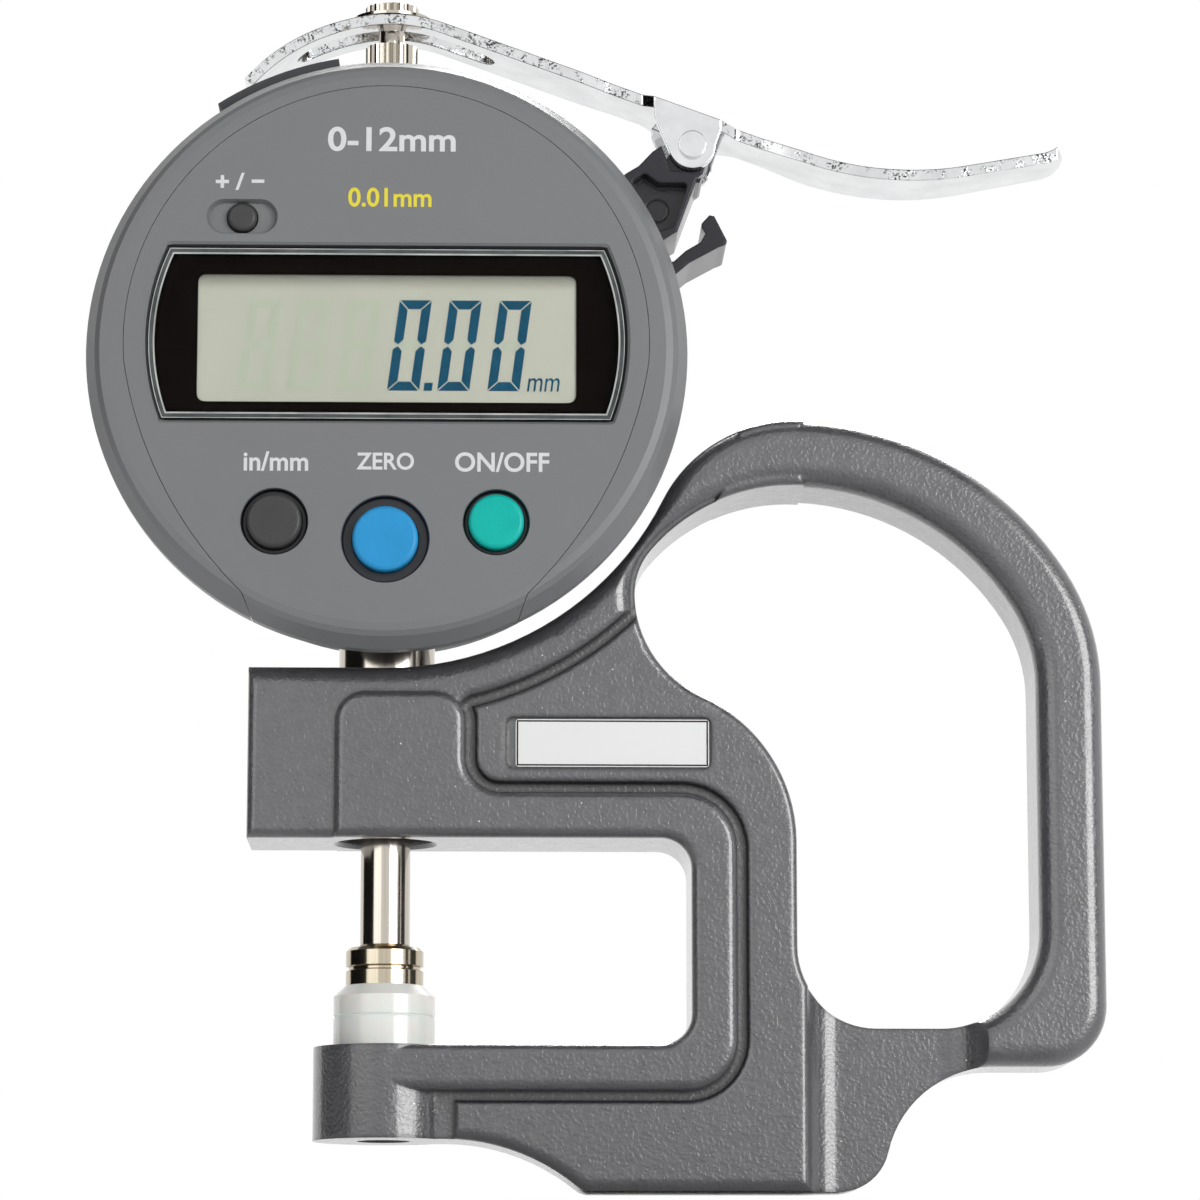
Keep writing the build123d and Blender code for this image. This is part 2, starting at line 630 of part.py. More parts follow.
collar_radius = COLLAR_DIAMETER / 2
groove_z = (COLLAR_BOTTOM + COLLAR_TOP) / 2 - 0.2
thread_top = COLLAR_TOP + 3.5
with BuildPart() as contact_shank:
    with BuildSketch(Plane.XZ):
        Polygon(
            (0, COLLAR_BOTTOM),
            (collar_radius, COLLAR_BOTTOM),
            (collar_radius, groove_z - 0.25),
            (collar_radius - 0.3, groove_z - 0.1),
            (collar_radius - 0.3, groove_z + 0.1),
            (collar_radius, groove_z + 0.25),
            (collar_radius, COLLAR_TOP - 0.35),
            (collar_radius - 0.35, COLLAR_TOP),
            (1.25 - FIT, COLLAR_TOP),
            (1.25 - FIT, thread_top),
            (0, thread_top),
            align=None,
        )
    revolve(axis=Axis.Z)
finish(contact_shank, "contact_shank")

# Spindle with its threaded ends
with BuildPart() as spindle:
    with BuildSketch(Plane.XZ):
        Polygon(
            (1.25, COLLAR_TOP),
            (SPINDLE_RADIUS - 0.3, COLLAR_TOP),
            (SPINDLE_RADIUS, COLLAR_TOP + 0.3),
            (SPINDLE_RADIUS, NUT_BOTTOM - 0.2),
            (SPINDLE_RADIUS - 0.2, NUT_BOTTOM),
            (1.6, NUT_BOTTOM),
            (1.6, NUT_TOP - 0.4),
            (1.0, NUT_TOP - 0.4),
            (1.0, NUT_TOP - 4.4),
            (0, NUT_TOP - 4.4),
            (0, thread_top + 0.3),
            (1.25, thread_top + 0.3),
            align=None,
        )
    revolve(axis=Axis.Z)
finish(spindle, "spindle")


def knurled(bottom, top, diameter, bore, teeth):
    """A knurled ring from bottom to top: a regular row of flats and notches round its edge."""
    with BuildPart() as ring:
        with BuildSketch(Plane.XY.offset(bottom)):
            Circle(diameter / 2)
            with PolarLocations(diameter / 2, teeth):
                Rectangle(0.3, 0.3, rotation=45, mode=Mode.SUBTRACT)
            if bore:
                Circle(bore, mode=Mode.SUBTRACT)
        extrude(amount=top - bottom)
    return ring.part


with BuildPart() as lower_nut:
    add(knurled(NUT_BOTTOM + 0.6, NUT_TOP, NUT_DIAMETER, 1.6 + FIT, 24))
    with Locations((0, 0, NUT_BOTTOM)):
        Cylinder(NUT_DIAMETER / 2 - 0.2, 0.6, align=(Align.CENTER, Align.CENTER, Align.MIN))
        Cylinder(1.6 + FIT, 0.6, align=(Align.CENTER, Align.CENTER, Align.MIN), mode=Mode.SUBTRACT)
finish(lower_nut, "lower_nut")

with BuildPart() as lift_washer:
    with BuildSketch(Plane.XY.offset(WASHER_Z)):
        Circle(WASHER_DIAMETER / 2)
        Circle(NECK_DIAMETER / 2 + FIT, mode=Mode.SUBTRACT)
    extrude(amount=WASHER_THICKNESS)
finish(lift_washer, "lift_washer")

with BuildPart() as lift_knob:
    add(knurled(KNOB_Z, KNOB_Z + KNOB_HEIGHT, KNOB_DIAMETER, 0, 24))
    with Locations((0, 0, NUT_TOP)):
        Cylinder(NECK_DIAMETER / 2, KNOB_Z - NUT_TOP, align=(Align.CENTER, Align.CENTER, Align.MIN))
    with Locations((0, 0, NUT_TOP - 4.2)):
        Cylinder(1.0 - FIT, 4.2, align=(Align.CENTER, Align.CENTER, Align.MIN))
finish(lift_knob, "lift_knob")

# Stem and bushes
with BuildPart() as stem:
    with BuildSketch(Plane.XZ):
        Polygon(
            (STEM_RADIUS - STEM_WALL, STEM_BOTTOM),
            (STEM_RADIUS - 0.3, STEM_BOTTOM),
            (STEM_RADIUS, STEM_BOTTOM + 0.3),
            (STEM_RADIUS, STEM_TOP),
            (STEM_RADIUS - STEM_WALL, STEM_TOP),
            align=None,
        )
    revolve(axis=Axis.Z)
finish(stem, "stem")

with BuildPart() as lower_bush:
    with BuildSketch(Plane.XY.offset(STEM_BOTTOM + 0.5)):
        Circle(STEM_RADIUS - STEM_WALL - FIT)
        Circle(SPINDLE_RADIUS + FIT, mode=Mode.SUBTRACT)
    extrude(amount=BUSH_LENGTH)
finish(lower_bush, "lower_bush")

with BuildPart() as upper_bush:
    with BuildSketch(Plane.XY.offset(SPRING_TOP)):
        Circle(TOP_BUSH_RADIUS - FIT)
        Circle(SPINDLE_RADIUS + FIT, mode=Mode.SUBTRACT)
    extrude(amount=TOP_BUSH_TOP - SPRING_TOP)
finish(upper_bush, "upper_bush")

# Indicator housing: front shell cut along the panel's outline into panel and bezel
side_top = (PANEL_RADIUS * cos(radians(5)), DIAL_Z + PANEL_RISE - PANEL_RADIUS * sin(radians(5)))
side_foot = on_dial(PANEL_RADIUS + 2.3, 150.3)
side_middle = on_dial(PANEL_RADIUS - 0.3, 114.1)
with BuildSketch() as panel_outline:
    with BuildLine():
        ThreePointArc(
            (-side_top[0], side_top[1]),
            (0, DIAL_Z + PANEL_RISE + PANEL_RADIUS),
            (side_top[0], side_top[1]),
        )
        ThreePointArc((side_top[0], side_top[1]), side_middle, side_foot)
        Line(side_foot, (side_foot[0] - 2.5, DIAL_Z - BEZEL_RADIUS - 1))
        Line((side_foot[0] - 2.5, DIAL_Z - BEZEL_RADIUS - 1), (2.5 - side_foot[0], DIAL_Z - BEZEL_RADIUS - 1))
        Line((2.5 - side_foot[0], DIAL_Z - BEZEL_RADIUS - 1), (-side_foot[0], side_foot[1]))
        ThreePointArc(
            (-side_foot[0], side_foot[1]),
            (-side_middle[0], side_middle[1]),
            (-side_top[0], side_top[1]),
        )
    make_face()

dial_axis = Axis((0, 0, DIAL_Z), (0, 1, 0))


def from_dial_centre(*corners):
    """Corners given as (distance ahead of the axis, radius), in the plane of X = 0."""
    return [(-ahead, DIAL_Z + radius) for ahead, radius in corners]


with BuildPart() as front_shell:
    with BuildSketch(Plane.YZ):
        Polygon(
            *from_dial_centre(
                (FACE_Y, 0),
                (FACE_Y, FACE_RADIUS),
                (FACE_Y - 0.15, FACE_RADIUS + 0.7),
                (FACE_Y - 0.6, FACE_RADIUS + 1.2),
                (FACE_Y - 2.6, BEZEL_RADIUS),
                (BEZEL_BACK_Y, BEZEL_RADIUS),
                (BEZEL_BACK_Y, CASE_INNER),
                (BEZEL_BACK_Y + 1.2, CASE_INNER),
                (BEZEL_BACK_Y + 1.2, BEZEL_RADIUS - 1.8),
                (FACE_Y - FACE_WALL, BEZEL_RADIUS - 2.6),
                (FACE_Y - FACE_WALL, 0),
            ),
            align=None,
        )
    revolve(axis=dial_axis)

with BuildPart() as bezel_ring:
    add(front_shell.part)
    with BuildSketch(front(BEZEL_BACK_Y - 1)):
        add(panel_outline.sketch_local)
    extrude(amount=FACE_Y, mode=Mode.SUBTRACT)
finish(bezel_ring, "bezel_ring")

with BuildSketch() as window_outline:
    with BuildLine():
        Line((-WINDOW_TOP_HALF, WINDOW_TOP), (WINDOW_TOP_HALF, WINDOW_TOP))
        ThreePointArc(
            (WINDOW_TOP_HALF, WINDOW_TOP),
            (WINDOW_END_HALF, WINDOW_MIDDLE + 0.6),
            (WINDOW_BOTTOM_HALF, WINDOW_BOTTOM),
        )
        Line((WINDOW_BOTTOM_HALF, WINDOW_BOTTOM), (-WINDOW_BOTTOM_HALF, WINDOW_BOTTOM))
        ThreePointArc(
            (-WINDOW_BOTTOM_HALF, WINDOW_BOTTOM),
            (-WINDOW_END_HALF, WINDOW_MIDDLE + 0.6),
            (-WINDOW_TOP_HALF, WINDOW_TOP),
        )
    make_face()

with BuildPart() as face_panel:
    add(front_shell.part)
    with BuildSketch(front(BEZEL_BACK_Y - 1)):
        add(panel_outline.sketch_local)
        offset(amount=-SEAM)
    extrude(amount=FACE_Y, mode=Mode.INTERSECT)
    # opening of the window, with a bevelled front edge
    with BuildSketch(front(FACE_Y)):
        add(window_outline.sketch_local)
    extrude(amount=-FACE_WALL, mode=Mode.SUBTRACT)
    with BuildSketch(front(FACE_Y)):
        add(window_outline.sketch_local)
        offset(amount=WINDOW_BEVEL)
    extrude(amount=-WINDOW_BEVEL, taper=45, mode=Mode.SUBTRACT)
    # holes of the push buttons and the dished recess of the sign button
    for name, (x, z, cap, recess) in BUTTONS.items():
        with BuildSketch(front(FACE_Y)):
            with Locations((x, z)):
                if name == "sign_button":
                    SlotOverall(SIGN_DISH_WIDTH, recess)
                else:
                    Circle(recess / 2)
        extrude(amount=-FACE_WALL / 2, taper=18, mode=Mode.SUBTRACT)
        with BuildSketch(front(FACE_Y)):
            with Locations((x, z)):
                Circle(cap / 2 + HOLE_GAP)
        extrude(amount=-FACE_WALL, mode=Mode.SUBTRACT)
finish(face_panel, "face_panel")

# Window, printed film and display behind it
window_front = FACE_Y - WINDOW_SET_BACK
film_front = FACE_Y - FACE_WALL
with BuildPart() as lcd_window:
    with BuildSketch(front(film_front)):
        add(window_outline.sketch_local)
        offset(amount=-SEAM)
    extrude(amount=window_front - film_front)
finish(lcd_window, "lcd_window")

glass_height = GLASS_TOP - GLASS_BOTTOM
glass_middle = (GLASS_TOP + GLASS_BOTTOM) / 2
with BuildPart() as window_film:
    with BuildSketch(front(film_front)):
        add(window_outline.sketch_local)
        offset(amount=WINDOW_EDGE)
        with Locations((0, glass_middle)):
            RectangleRounded(2 * GLASS_LEFT, glass_height, 0.8, mode=Mode.SUBTRACT)
    extrude(amount=-FILM_THICKNESS)
finish(window_film, "window_film")

glass_front = film_front - FILM_THICKNESS
with BuildPart() as lcd_glass:
    with BuildSketch(front(glass_front)):
        with Locations((0, glass_middle)):
            Rectangle(2 * (GLASS_LEFT + GLASS_MARGIN), glass_height + 2 * GLASS_MARGIN)
    extrude(amount=-GLASS_THICKNESS)
finish(lcd_glass, "lcd_glass")

glass_back = glass_front - GLASS_THICKNESS
with BuildPart() as contact_strips:
    with BuildSketch(front(BOARD_Y)):
        with Locations((0, GLASS_TOP), (0, GLASS_BOTTOM)):
            Rectangle(2 * GLASS_LEFT, 1.6)
    extrude(amount=glass_back - BOARD_Y)
finish(contact_strips, "contact_strips")

board_back = BOARD_Y - BOARD_THICKNESS
with BuildPart() as circuit_board:
    with BuildSketch(front(board_back)):
        with Locations(DIAL):
            Circle(CASE_INNER - 0.4)
            with PolarLocations(CASE_INNER - 0.4, 2, start_angle=0):
                Circle(1.4, mode=Mode.SUBTRACT)
    extrude(amount=BOARD_THICKNESS)
finish(circuit_board, "circuit_board")

# Rubber mat with a dome behind each lower button
mat_thickness = 0.8
dome_front = film_front - BUTTON_FLANGE - BUTTON_TRAVEL - 0.25
with BuildPart() as keypad_mat:
    with BuildSketch(front(BOARD_Y)):
        with Locations((0, UNIT_BUTTON[1] - 0.8)):
            RectangleRounded(30, 8.4, 2)
        with Locations(DIAL):
            Circle(CASE_INNER - 0.4, mode=Mode.INTERSECT)
    extrude(amount=mat_thickness)
    for x, z, cap, recess in (UNIT_BUTTON, ZERO_BUTTON, POWER_BUTTON):
        with BuildSketch(front(BOARD_Y + mat_thickness)):
            with Locations((x, z)):
                Circle(cap / 2 - 0.6)
        extrude(amount=dome_front - BOARD_Y - mat_thickness, taper=8)
finish(keypad_mat, "keypad_mat")

with BuildPart() as sign_switch:
    with BuildSketch(front(BOARD_Y)):
        with Locations((SIGN_BUTTON[0], SIGN_BUTTON[1])):
            Rectangle(4, 4)
    extrude(amount=dome_front - BOARD_Y)
finish(sign_switch, "sign_switch")

# Button caps: a rounded cap in front of the panel and a rim behind it
for name, (x, z, cap, recess) in BUTTONS.items():
    with BuildPart() as button:
        with BuildSketch(Plane.XZ.offset(film_front - SEAM)):
            with Locations((x, z)):
                Circle(cap / 2)
        extrude(amount=FACE_Y + (0 if name == "sign_button" else CAP_STAND) - film_front + SEAM)
        fillet(button.edges().group_by(Axis.Y)[0], 0.45)
        with BuildSketch(Plane.XZ.offset(film_front - SEAM)):
            with Locations((x, z)):
                Circle(cap / 2 + BUTTON_FLANGE)
        extrude(amount=-BUTTON_FLANGE)
    finish(button, name)

# Rear case: a drum with a ledge for the board, and openings for what passes its wall
with BuildPart() as rear_case:
    with BuildSketch(Plane.YZ):
        Polygon(
            *from_dial_centre(
                (BEZEL_BACK_Y, CASE_RADIUS),
                (-CASE_BACK_Y, CASE_RADIUS),
                (-CASE_BACK_Y, CASE_INNER),
                (board_back - 1, CASE_INNER),
                (board_back - 1, CASE_INNER - 1.6),
                (board_back, CASE_INNER - 1.6),
                (board_back, CASE_INNER),
                (BEZEL_BACK_Y, CASE_INNER),
            ),
            align=None,
        )
    revolve(axis=dial_axis)
    # bosses for the stem and the upper bush
    with Locations((0, 0, DIAL_Z - CASE_INNER - 0.6)):
        Cylinder(STEM_RADIUS + 1.6, 2.4, align=(Align.CENTER, Align.CENTER, Align.MIN))
    with Locations((0, 0, SPRING_TOP)):
        Cylinder(TOP_BOSS_RADIUS, TOP_BUSH_TOP - 0.6 - SPRING_TOP, align=(Align.CENTER, Align.CENTER, Align.MIN))
    with Locations((0, 0, DIAL_Z - CASE_RADIUS - 2)):
        Cylinder(STEM_RADIUS + FIT, 8, align=(Align.CENTER, Align.CENTER, Align.MIN), mode=Mode.SUBTRACT)
    with Locations((0, 0, SPRING_TOP)):
        Cylinder(TOP_BUSH_RADIUS, 8, align=(Align.CENTER, Align.CENTER, Align.MIN), mode=Mode.SUBTRACT)
    # openings of the data port and the battery
    port_depth = PORT_FRONT_Y - PORT_BACK_Y - 1.2
    door_depth = PORT_FRONT_Y - 0.2
    for first, last, depth in (
        (-PORT_FIRST - 4, 4 - PORT_LAST, port_depth),
        (PORT_FIRST + 4, DOOR_LAST - 4, door_depth),
    ):
        with BuildSketch(front(PORT_FRONT_Y - 1.2)):
            add(dial_sector(CASE_INNER - 2, CASE_RADIUS + 1, first, last))
        extrude(amount=-depth, mode=Mode.SUBTRACT)
    # screw bosses for the rear cover
    with BuildSketch(front(-CASE_BACK_Y)):
        with Locations(DIAL):
            with PolarLocations(BOSS_CIRCLE, 4, start_angle=45):
                Circle(BOSS_RADIUS)
                Circle(COVER_SCREW_RADIUS, mode=Mode.SUBTRACT)
    extrude(amount=BOSS_LENGTH)
finish(rear_case, "rear_case")

with BuildPart() as rear_cover:
    with BuildSketch(Plane.YZ):
        Polygon(
            *from_dial_centre(
                (-CASE_BACK_Y, 0),
                (-CASE_BACK_Y, CASE_RADIUS),
                (-CASE_BACK_Y - COVER_THICKNESS + 0.5, CASE_RADIUS),
                (-CASE_BACK_Y - COVER_THICKNESS, CASE_RADIUS - 0.5),
                (-CASE_BACK_Y - COVER_THICKNESS, 0),
            ),
            align=None,
        )
    revolve(axis=dial_axis)
    with Locations(Location((0, CASE_BACK_Y + COVER_THICKNESS, DIAL_Z), (-90, 0, 0))):
        with PolarLocations(BOSS_CIRCLE, 4, start_angle=45):
            CounterSinkHole(1.0, 1.9, depth=COVER_THICKNESS)
finish(rear_cover, "rear_cover")

with BuildPart() as rear_cover_screws:
    with Locations(Location((0, CASE_BACK_Y + COVER_THICKNESS, DIAL_Z), (-90, 0, 0))):
        with PolarLocations(BOSS_CIRCLE, 4, start_angle=45):
            with Locations((0, 0, -5.5)):
                Cylinder(COVER_SCREW_RADIUS - FIT, 5.2, align=(Align.CENTER, Align.CENTER, Align.MIN))
            with Locations((0, 0, -1.0)):
                Cone(COVER_SCREW_RADIUS - FIT, 1.75, 0.95, align=(Align.CENTER, Align.CENTER, Align.MIN))
finish(rear_cover_screws, "rear_cover_screws")

with BuildPart() as connector_cover:
    with BuildSketch(front(PORT_FRONT_Y)):
        add(dial_sector(CASE_RADIUS + 0.05, PORT_RADIUS, -PORT_FIRST, -PORT_LAST))
    extrude(amount=PORT_BACK_Y - PORT_FRONT_Y)
finish(connector_cover, "connector_cover")

with BuildPart() as connector_socket:
    with BuildSketch(front(PORT_BACK_Y + 0.2)):
        add(dial_sector(CASE_INNER - 3.5, CASE_RADIUS - 0.2, -(PORT_FIRST + 5), -(PORT_LAST - 5)))
    extrude(amount=board_back - PORT_BACK_Y - 0.3)
finish(connector_socket, "connector_socket")

with BuildPart() as battery_cover:
    with BuildSketch(front(PORT_FRONT_Y)):
        add(dial_sector(CASE_RADIUS + 0.05, DOOR_RADIUS, PORT_FIRST, DOOR_LAST))
    extrude(amount=-PORT_FRONT_Y - 2)
finish(battery_cover, "battery_cover")

with BuildPart() as battery:
    with BuildSketch(front(BATTERY_HEIGHT / 2)):
        with Locations(BATTERY_PLACE):
            Circle(BATTERY_DIAMETER / 2)
    extrude(amount=-BATTERY_HEIGHT)
    fillet(battery.edges().filter_by(GeomType.CIRCLE), 0.4)
finish(battery, "battery")

tray_front = board_back - TRAY_GAP
with BuildPart() as battery_tray:
    with BuildSketch(front(tray_front)):
        with Locations(BATTERY_PLACE):
            Circle(BATTERY_DIAMETER / 2 + 0.9)
        with Locations(DIAL):
            Circle(CASE_INNER - 0.3, mode=Mode.INTERSECT)
            with PolarLocations(BOSS_CIRCLE, 4, start_angle=45):
                Circle(BOSS_RADIUS + 0.3, mode=Mode.SUBTRACT)
        Rectangle(2 * TOP_BOSS_RADIUS, 4 * DIAL_Z, mode=Mode.SUBTRACT)
    extrude(amount=-(tray_front + CASE_BACK_Y - 0.3))
    with BuildSketch(front(tray_front)):
        with Locations(BATTERY_PLACE):
            Circle(BATTERY_DIAMETER / 2 + 0.1)
    extrude(amount=-(tray_front + BATTERY_HEIGHT / 2 + 0.05), mode=Mode.SUBTRACT)
finish(battery_tray, "battery_tray")

with BuildPart() as battery_contact:
    with BuildSketch(front(BATTERY_HEIGHT / 2 + 0.3)):
        with Locations(BATTERY_PLACE):
            Rectangle(3, 9)
    extrude(amount=0.25)
    with BuildSketch(front(BATTERY_HEIGHT / 2)):
        with Locations(BATTERY_PLACE):
            Rectangle(3, 2.4)
    extrude(amount=0.3)
finish(battery_contact, "battery_contact")

# Carrier on the spindle, glass scale, guide pin and rail, detector
with BuildPart() as scale_carrier:
    with BuildSketch(Plane.XY.offset(CARRIER_BOTTOM)):
        with BuildLine():
            Polyline((-4.6, -3.6), (4.6, -3.6), (4.6, 3.4), (2.4, SCALE_Y), (-2.4, SCALE_Y), (-4.6, 3.4), close=True)
        make_face()
        Circle(SPINDLE_RADIUS + FIT, mode=Mode.SUBTRACT)
    extrude(amount=CARRIER_TOP - CARRIER_BOTTOM)
    with Locations(Location((-4.6, 0, CARRIER_TOP - 2.2), (0, 90, 0))):
        Cylinder(GUIDE_PIN / 2 + 0.01, 1.8, align=(Align.CENTER, Align.CENTER, Align.MIN), mode=Mode.SUBTRACT)
finish(scale_carrier, "scale_carrier")

with BuildPart() as guide_pin:
    with Locations(Location((-RAIL_LEFT + 1.0, 0, CARRIER_TOP - 2.2), (0, 90, 0))):
        Cylinder(GUIDE_PIN / 2, RAIL_LEFT - 1.0 - 4.6 + 1.7, align=(Align.CENTER, Align.CENTER, Align.MIN))
finish(guide_pin, "guide_pin")

with BuildPart() as guide_rail:
    with BuildSketch(Plane.XY.offset(CARRIER_BOTTOM - 6.5)):
        with Locations((-RAIL_LEFT, 0)):
            Rectangle(RAIL_WIDTH, 2 * (RAIL_SLOT / 2 + 1.4), align=(Align.MIN, Align.CENTER))
        with Locations((-RAIL_LEFT, 0)):
            Rectangle(RAIL_WIDTH, CASE_BACK_Y - 0.2, align=(Align.MIN, Align.MIN))
        with Locations((-RAIL_LEFT + 0.8, 0)):
            Rectangle(RAIL_WIDTH, RAIL_SLOT, align=(Align.MIN, Align.CENTER), mode=Mode.SUBTRACT)
    extrude(amount=SPRING_TOP - 2.5 - CARRIER_BOTTOM + 6.5)
finish(guide_rail, "guide_rail")

scale_bottom = (CARRIER_BOTTOM + CARRIER_TOP - SCALE_LENGTH) / 2
with BuildPart() as scale_strip:
    with Locations((0, SCALE_Y, scale_bottom)):
        Box(SCALE_WIDTH, SCALE_THICKNESS, SCALE_LENGTH, align=(Align.CENTER, Align.MIN, Align.MIN))
finish(scale_strip, "scale_strip")

detector_y = SCALE_Y + SCALE_THICKNESS + 0.6
with BuildPart() as detector_board:
    with Locations((0, detector_y, CARRIER_BOTTOM - 4)):
        Box(12, 1.0, 24, align=(Align.CENTER, Align.MIN, Align.MIN))
    with Locations((0, detector_y + 1.0, CARRIER_BOTTOM - 2), (0, detector_y + 1.0, CARRIER_BOTTOM + 18)):
        Box(9, CASE_BACK_Y - detector_y - 1.2, 2, align=(Align.CENTER, Align.MIN, Align.CENTER))
finish(detector_board, "detector_board")

# Return spring between the carrier and the upper bush
spring_bottom = CARRIER_TOP + SPRING_WIRE / 2 + 0.1
spring_height = SPRING_TOP - SPRING_WIRE - 0.2 - CARRIER_TOP
with BuildPart() as return_spring:
    with BuildLine():
        coil = Helix(spring_height / SPRING_TURNS, spring_height, SPRING_RADIUS, center=(0, 0, spring_bottom))
    with BuildSketch(Plane(origin=coil @ 0, z_dir=coil % 0)):
        RegularPolygon(SPRING_WIRE / 2, 6)
    sweep(is_frenet=True)
finish(return_spring, "return_spring")


# Lifting lever
crest = (0.0, PIVOT_Z + CAM_HEIGHT)


def cam_point(turn, depth):
    """Point of the cam's involute, by radians from the crest, at a depth below the sheet's top."""
    reach = CAM_HEIGHT - depth + PIVOT_X * turn
    return (
        PIVOT_X - PIVOT_X * cos(turn) - reach * sin(turn),
        PIVOT_Z - PIVOT_X * sin(turn) + reach * cos(turn),
    )


def lever_line(depth):
    """The lever's side view at a depth below the sheet's top, from tail to thumb tip."""
    last = radians(CAM_TURN)
    cam_end = cam_point(last, depth)
    tail = JernArc(cam_end, (-cos(last), -sin(last)), TAIL_RADIUS - depth, TAIL_TURN)
    cam = Spline(
        *[cam_point(last * share, depth) for share in (0, 0.25, 0.5, 0.75, 1)],
        tangents=[(-1, 0), (-cos(last), -sin(last))],
    )
    top = JernArc(cam_point(0, depth), (1, 0), CREST_RADIUS - depth, -ARM_SLOPE)
    arm = PolarLine(top @ 1, ARM_LENGTH, -ARM_SLOPE)
    thumb = JernArc(arm @ 1, arm % 1, THUMB_RADIUS + depth, THUMB_TURN)
    rest = PolarLine(thumb @ 1, THUMB_LENGTH, THUMB_TURN - ARM_SLOPE)
    tip = JernArc(rest @ 1, rest % 1, 4.0 + depth, TIP_TURN)
    return tail @ 1, tip @ 1


with BuildPart() as lever:
    with BuildSketch(Plane.XZ):
        with BuildLine():
            upper_tail, upper_tip = lever_line(0)
            lower_tail, lower_tip = lever_line(SHEET)
            Line(upper_tail, lower_tail)
            Line(upper_tip, lower_tip)
        make_face()
    extrude(amount=2 * LEVER_HALF, both=True)
    # plan of the sheet: arm, waists beside the ears, thumb plate with a round end
    thumb_end = upper_tip.X
    with BuildSketch(Plane.XY.offset(PIVOT_Z - 30)):
        with BuildLine():
            right_side = FilletPolyline(
                (upper_tail.X - 2, LEVER_HALF),
                (PIVOT_X - 11.2, LEVER_HALF),
                (PIVOT_X - 8.0, WAIST_HALF + 0.4),
                (PIVOT_X - 5.0, WAIST_HALF + 0.4),
                (EAR_LEFT_X, EAR_OUTER_Y),
                (EAR_RIGHT_X, EAR_OUTER_Y),
                (PIVOT_X + 4.6, WAIST_HALF),
                (PIVOT_X + 7.0, WAIST_HALF),
                (PIVOT_X + 11.1, LEVER_HALF),
                (PIVOT_X + 21.6, LEVER_HALF),
                (thumb_end, WAIST_HALF),
                radius=[1.5, 1.5, 0.4, 0.4, 0.4, 1.0, 2.0, 1.5, 8.0],
            )
            mirror(right_side, about=Plane.XZ)
            Line((upper_tail.X - 2, LEVER_HALF), (upper_tail.X - 2, -LEVER_HALF))
            ThreePointArc((thumb_end, WAIST_HALF), (thumb_end + 0.9, 0), (thumb_end, -WAIST_HALF))
        make_face()
    extrude(amount=60, mode=Mode.INTERSECT)
    # slot for the neck of the knob
    with BuildSketch(Plane.XY.offset(PIVOT_Z)):
        with Locations(((SLOT_LEFT_X + SLOT_RIGHT_X) / 2, 0)):
            SlotOverall(SLOT_RIGHT_X - SLOT_LEFT_X, SLOT_WIDTH)
    extrude(amount=60, mode=Mode.SUBTRACT)
    # ears on the pivot
    for sign in (1, -1):
        with BuildSketch(front(sign * EAR_OUTER_Y)):
            with BuildLine():
                Polyline(
                    (EAR_LEFT_X, PIVOT_Z + 4.6),
                    (EAR_LEFT_X, PIVOT_Z + 3.0),
                    (PIVOT_X - EAR_RADIUS * cos(radians(20)), PIVOT_Z - EAR_RADIUS * sin(radians(20))),
                )
                ThreePointArc(
                    (PIVOT_X - EAR_RADIUS * cos(radians(20)), PIVOT_Z - EAR_RADIUS * sin(radians(20))),
                    (PIVOT_X, PIVOT_Z - EAR_RADIUS),
                    (PIVOT_X + EAR_RADIUS, PIVOT_Z),
                )
                Polyline(
                    (PIVOT_X + EAR_RADIUS, PIVOT_Z),
                    (EAR_RIGHT_X, PIVOT_Z + 1.6),
                    (EAR_RIGHT_X, PIVOT_Z + 2.2),
                    (EAR_LEFT_X, PIVOT_Z + 4.6),
                )
            make_face()
        extrude(amount=-sign * SHEET)
    with Locations(Location((PIVOT_X, -10, PIVOT_Z), (-90, 0, 0))):
        Cylinder(
            PIN_DIAMETER / 2 + 0.005,
            20,
            align=(Align.CENTER, Align.CENTER, Align.MIN),
            mode=Mode.SUBTRACT,
        )
finish(lever, "lever")

with BuildPart() as pivot_pin:
    with BuildSketch(front(EAR_OUTER_Y)):
        with Locations((PIVOT_X, PIVOT_Z)):
            Circle(PIN_DIAMETER / 2)
    extrude(amount=-2 * EAR_OUTER_Y)
    for sign in (1, -1):
        with BuildSketch(front(sign * EAR_OUTER_Y)):
            with Locations((PIVOT_X, PIVOT_Z)):
                Circle(PIN_HEAD / 2)
        extrude(amount=sign * 0.5)
finish(pivot_pin, "pivot_pin")

# Bracket on the case
bracket_seat = CASE_RADIUS + 0.05
screw_place = (PIVOT_X - 3.5, PIVOT_Z - 6.4)


def from_pivot(*corners):
    """Corners given as (right of, above) the pivot."""
    return [(PIVOT_X + right, PIVOT_Z + above) for right, above in corners]


with BuildSketch() as bracket_outline:
    with BuildLine():
        seat_top = on_dial(bracket_seat, SEAT_FIRST)
        seat_foot = on_dial(bracket_seat, SEAT_LAST)
        seat_middle = on_dial(bracket_seat, (SEAT_FIRST + SEAT_LAST) / 2)
        shoulder_line = from_pivot((-6.7, -3.0), (-5.4, -2.2), (-4.0, -0.7), (-3.1, -0.1), (-2.2, -2.6))
        side_line = from_pivot((1.1, -2.9), (0.5, -3.4), (-1.5, -8.9), (-2.9, -9.8))
        Polyline(seat_top, *shoulder_line, *side_line, seat_foot)
        ThreePointArc(seat_foot, seat_middle, seat_top)
    make_face()

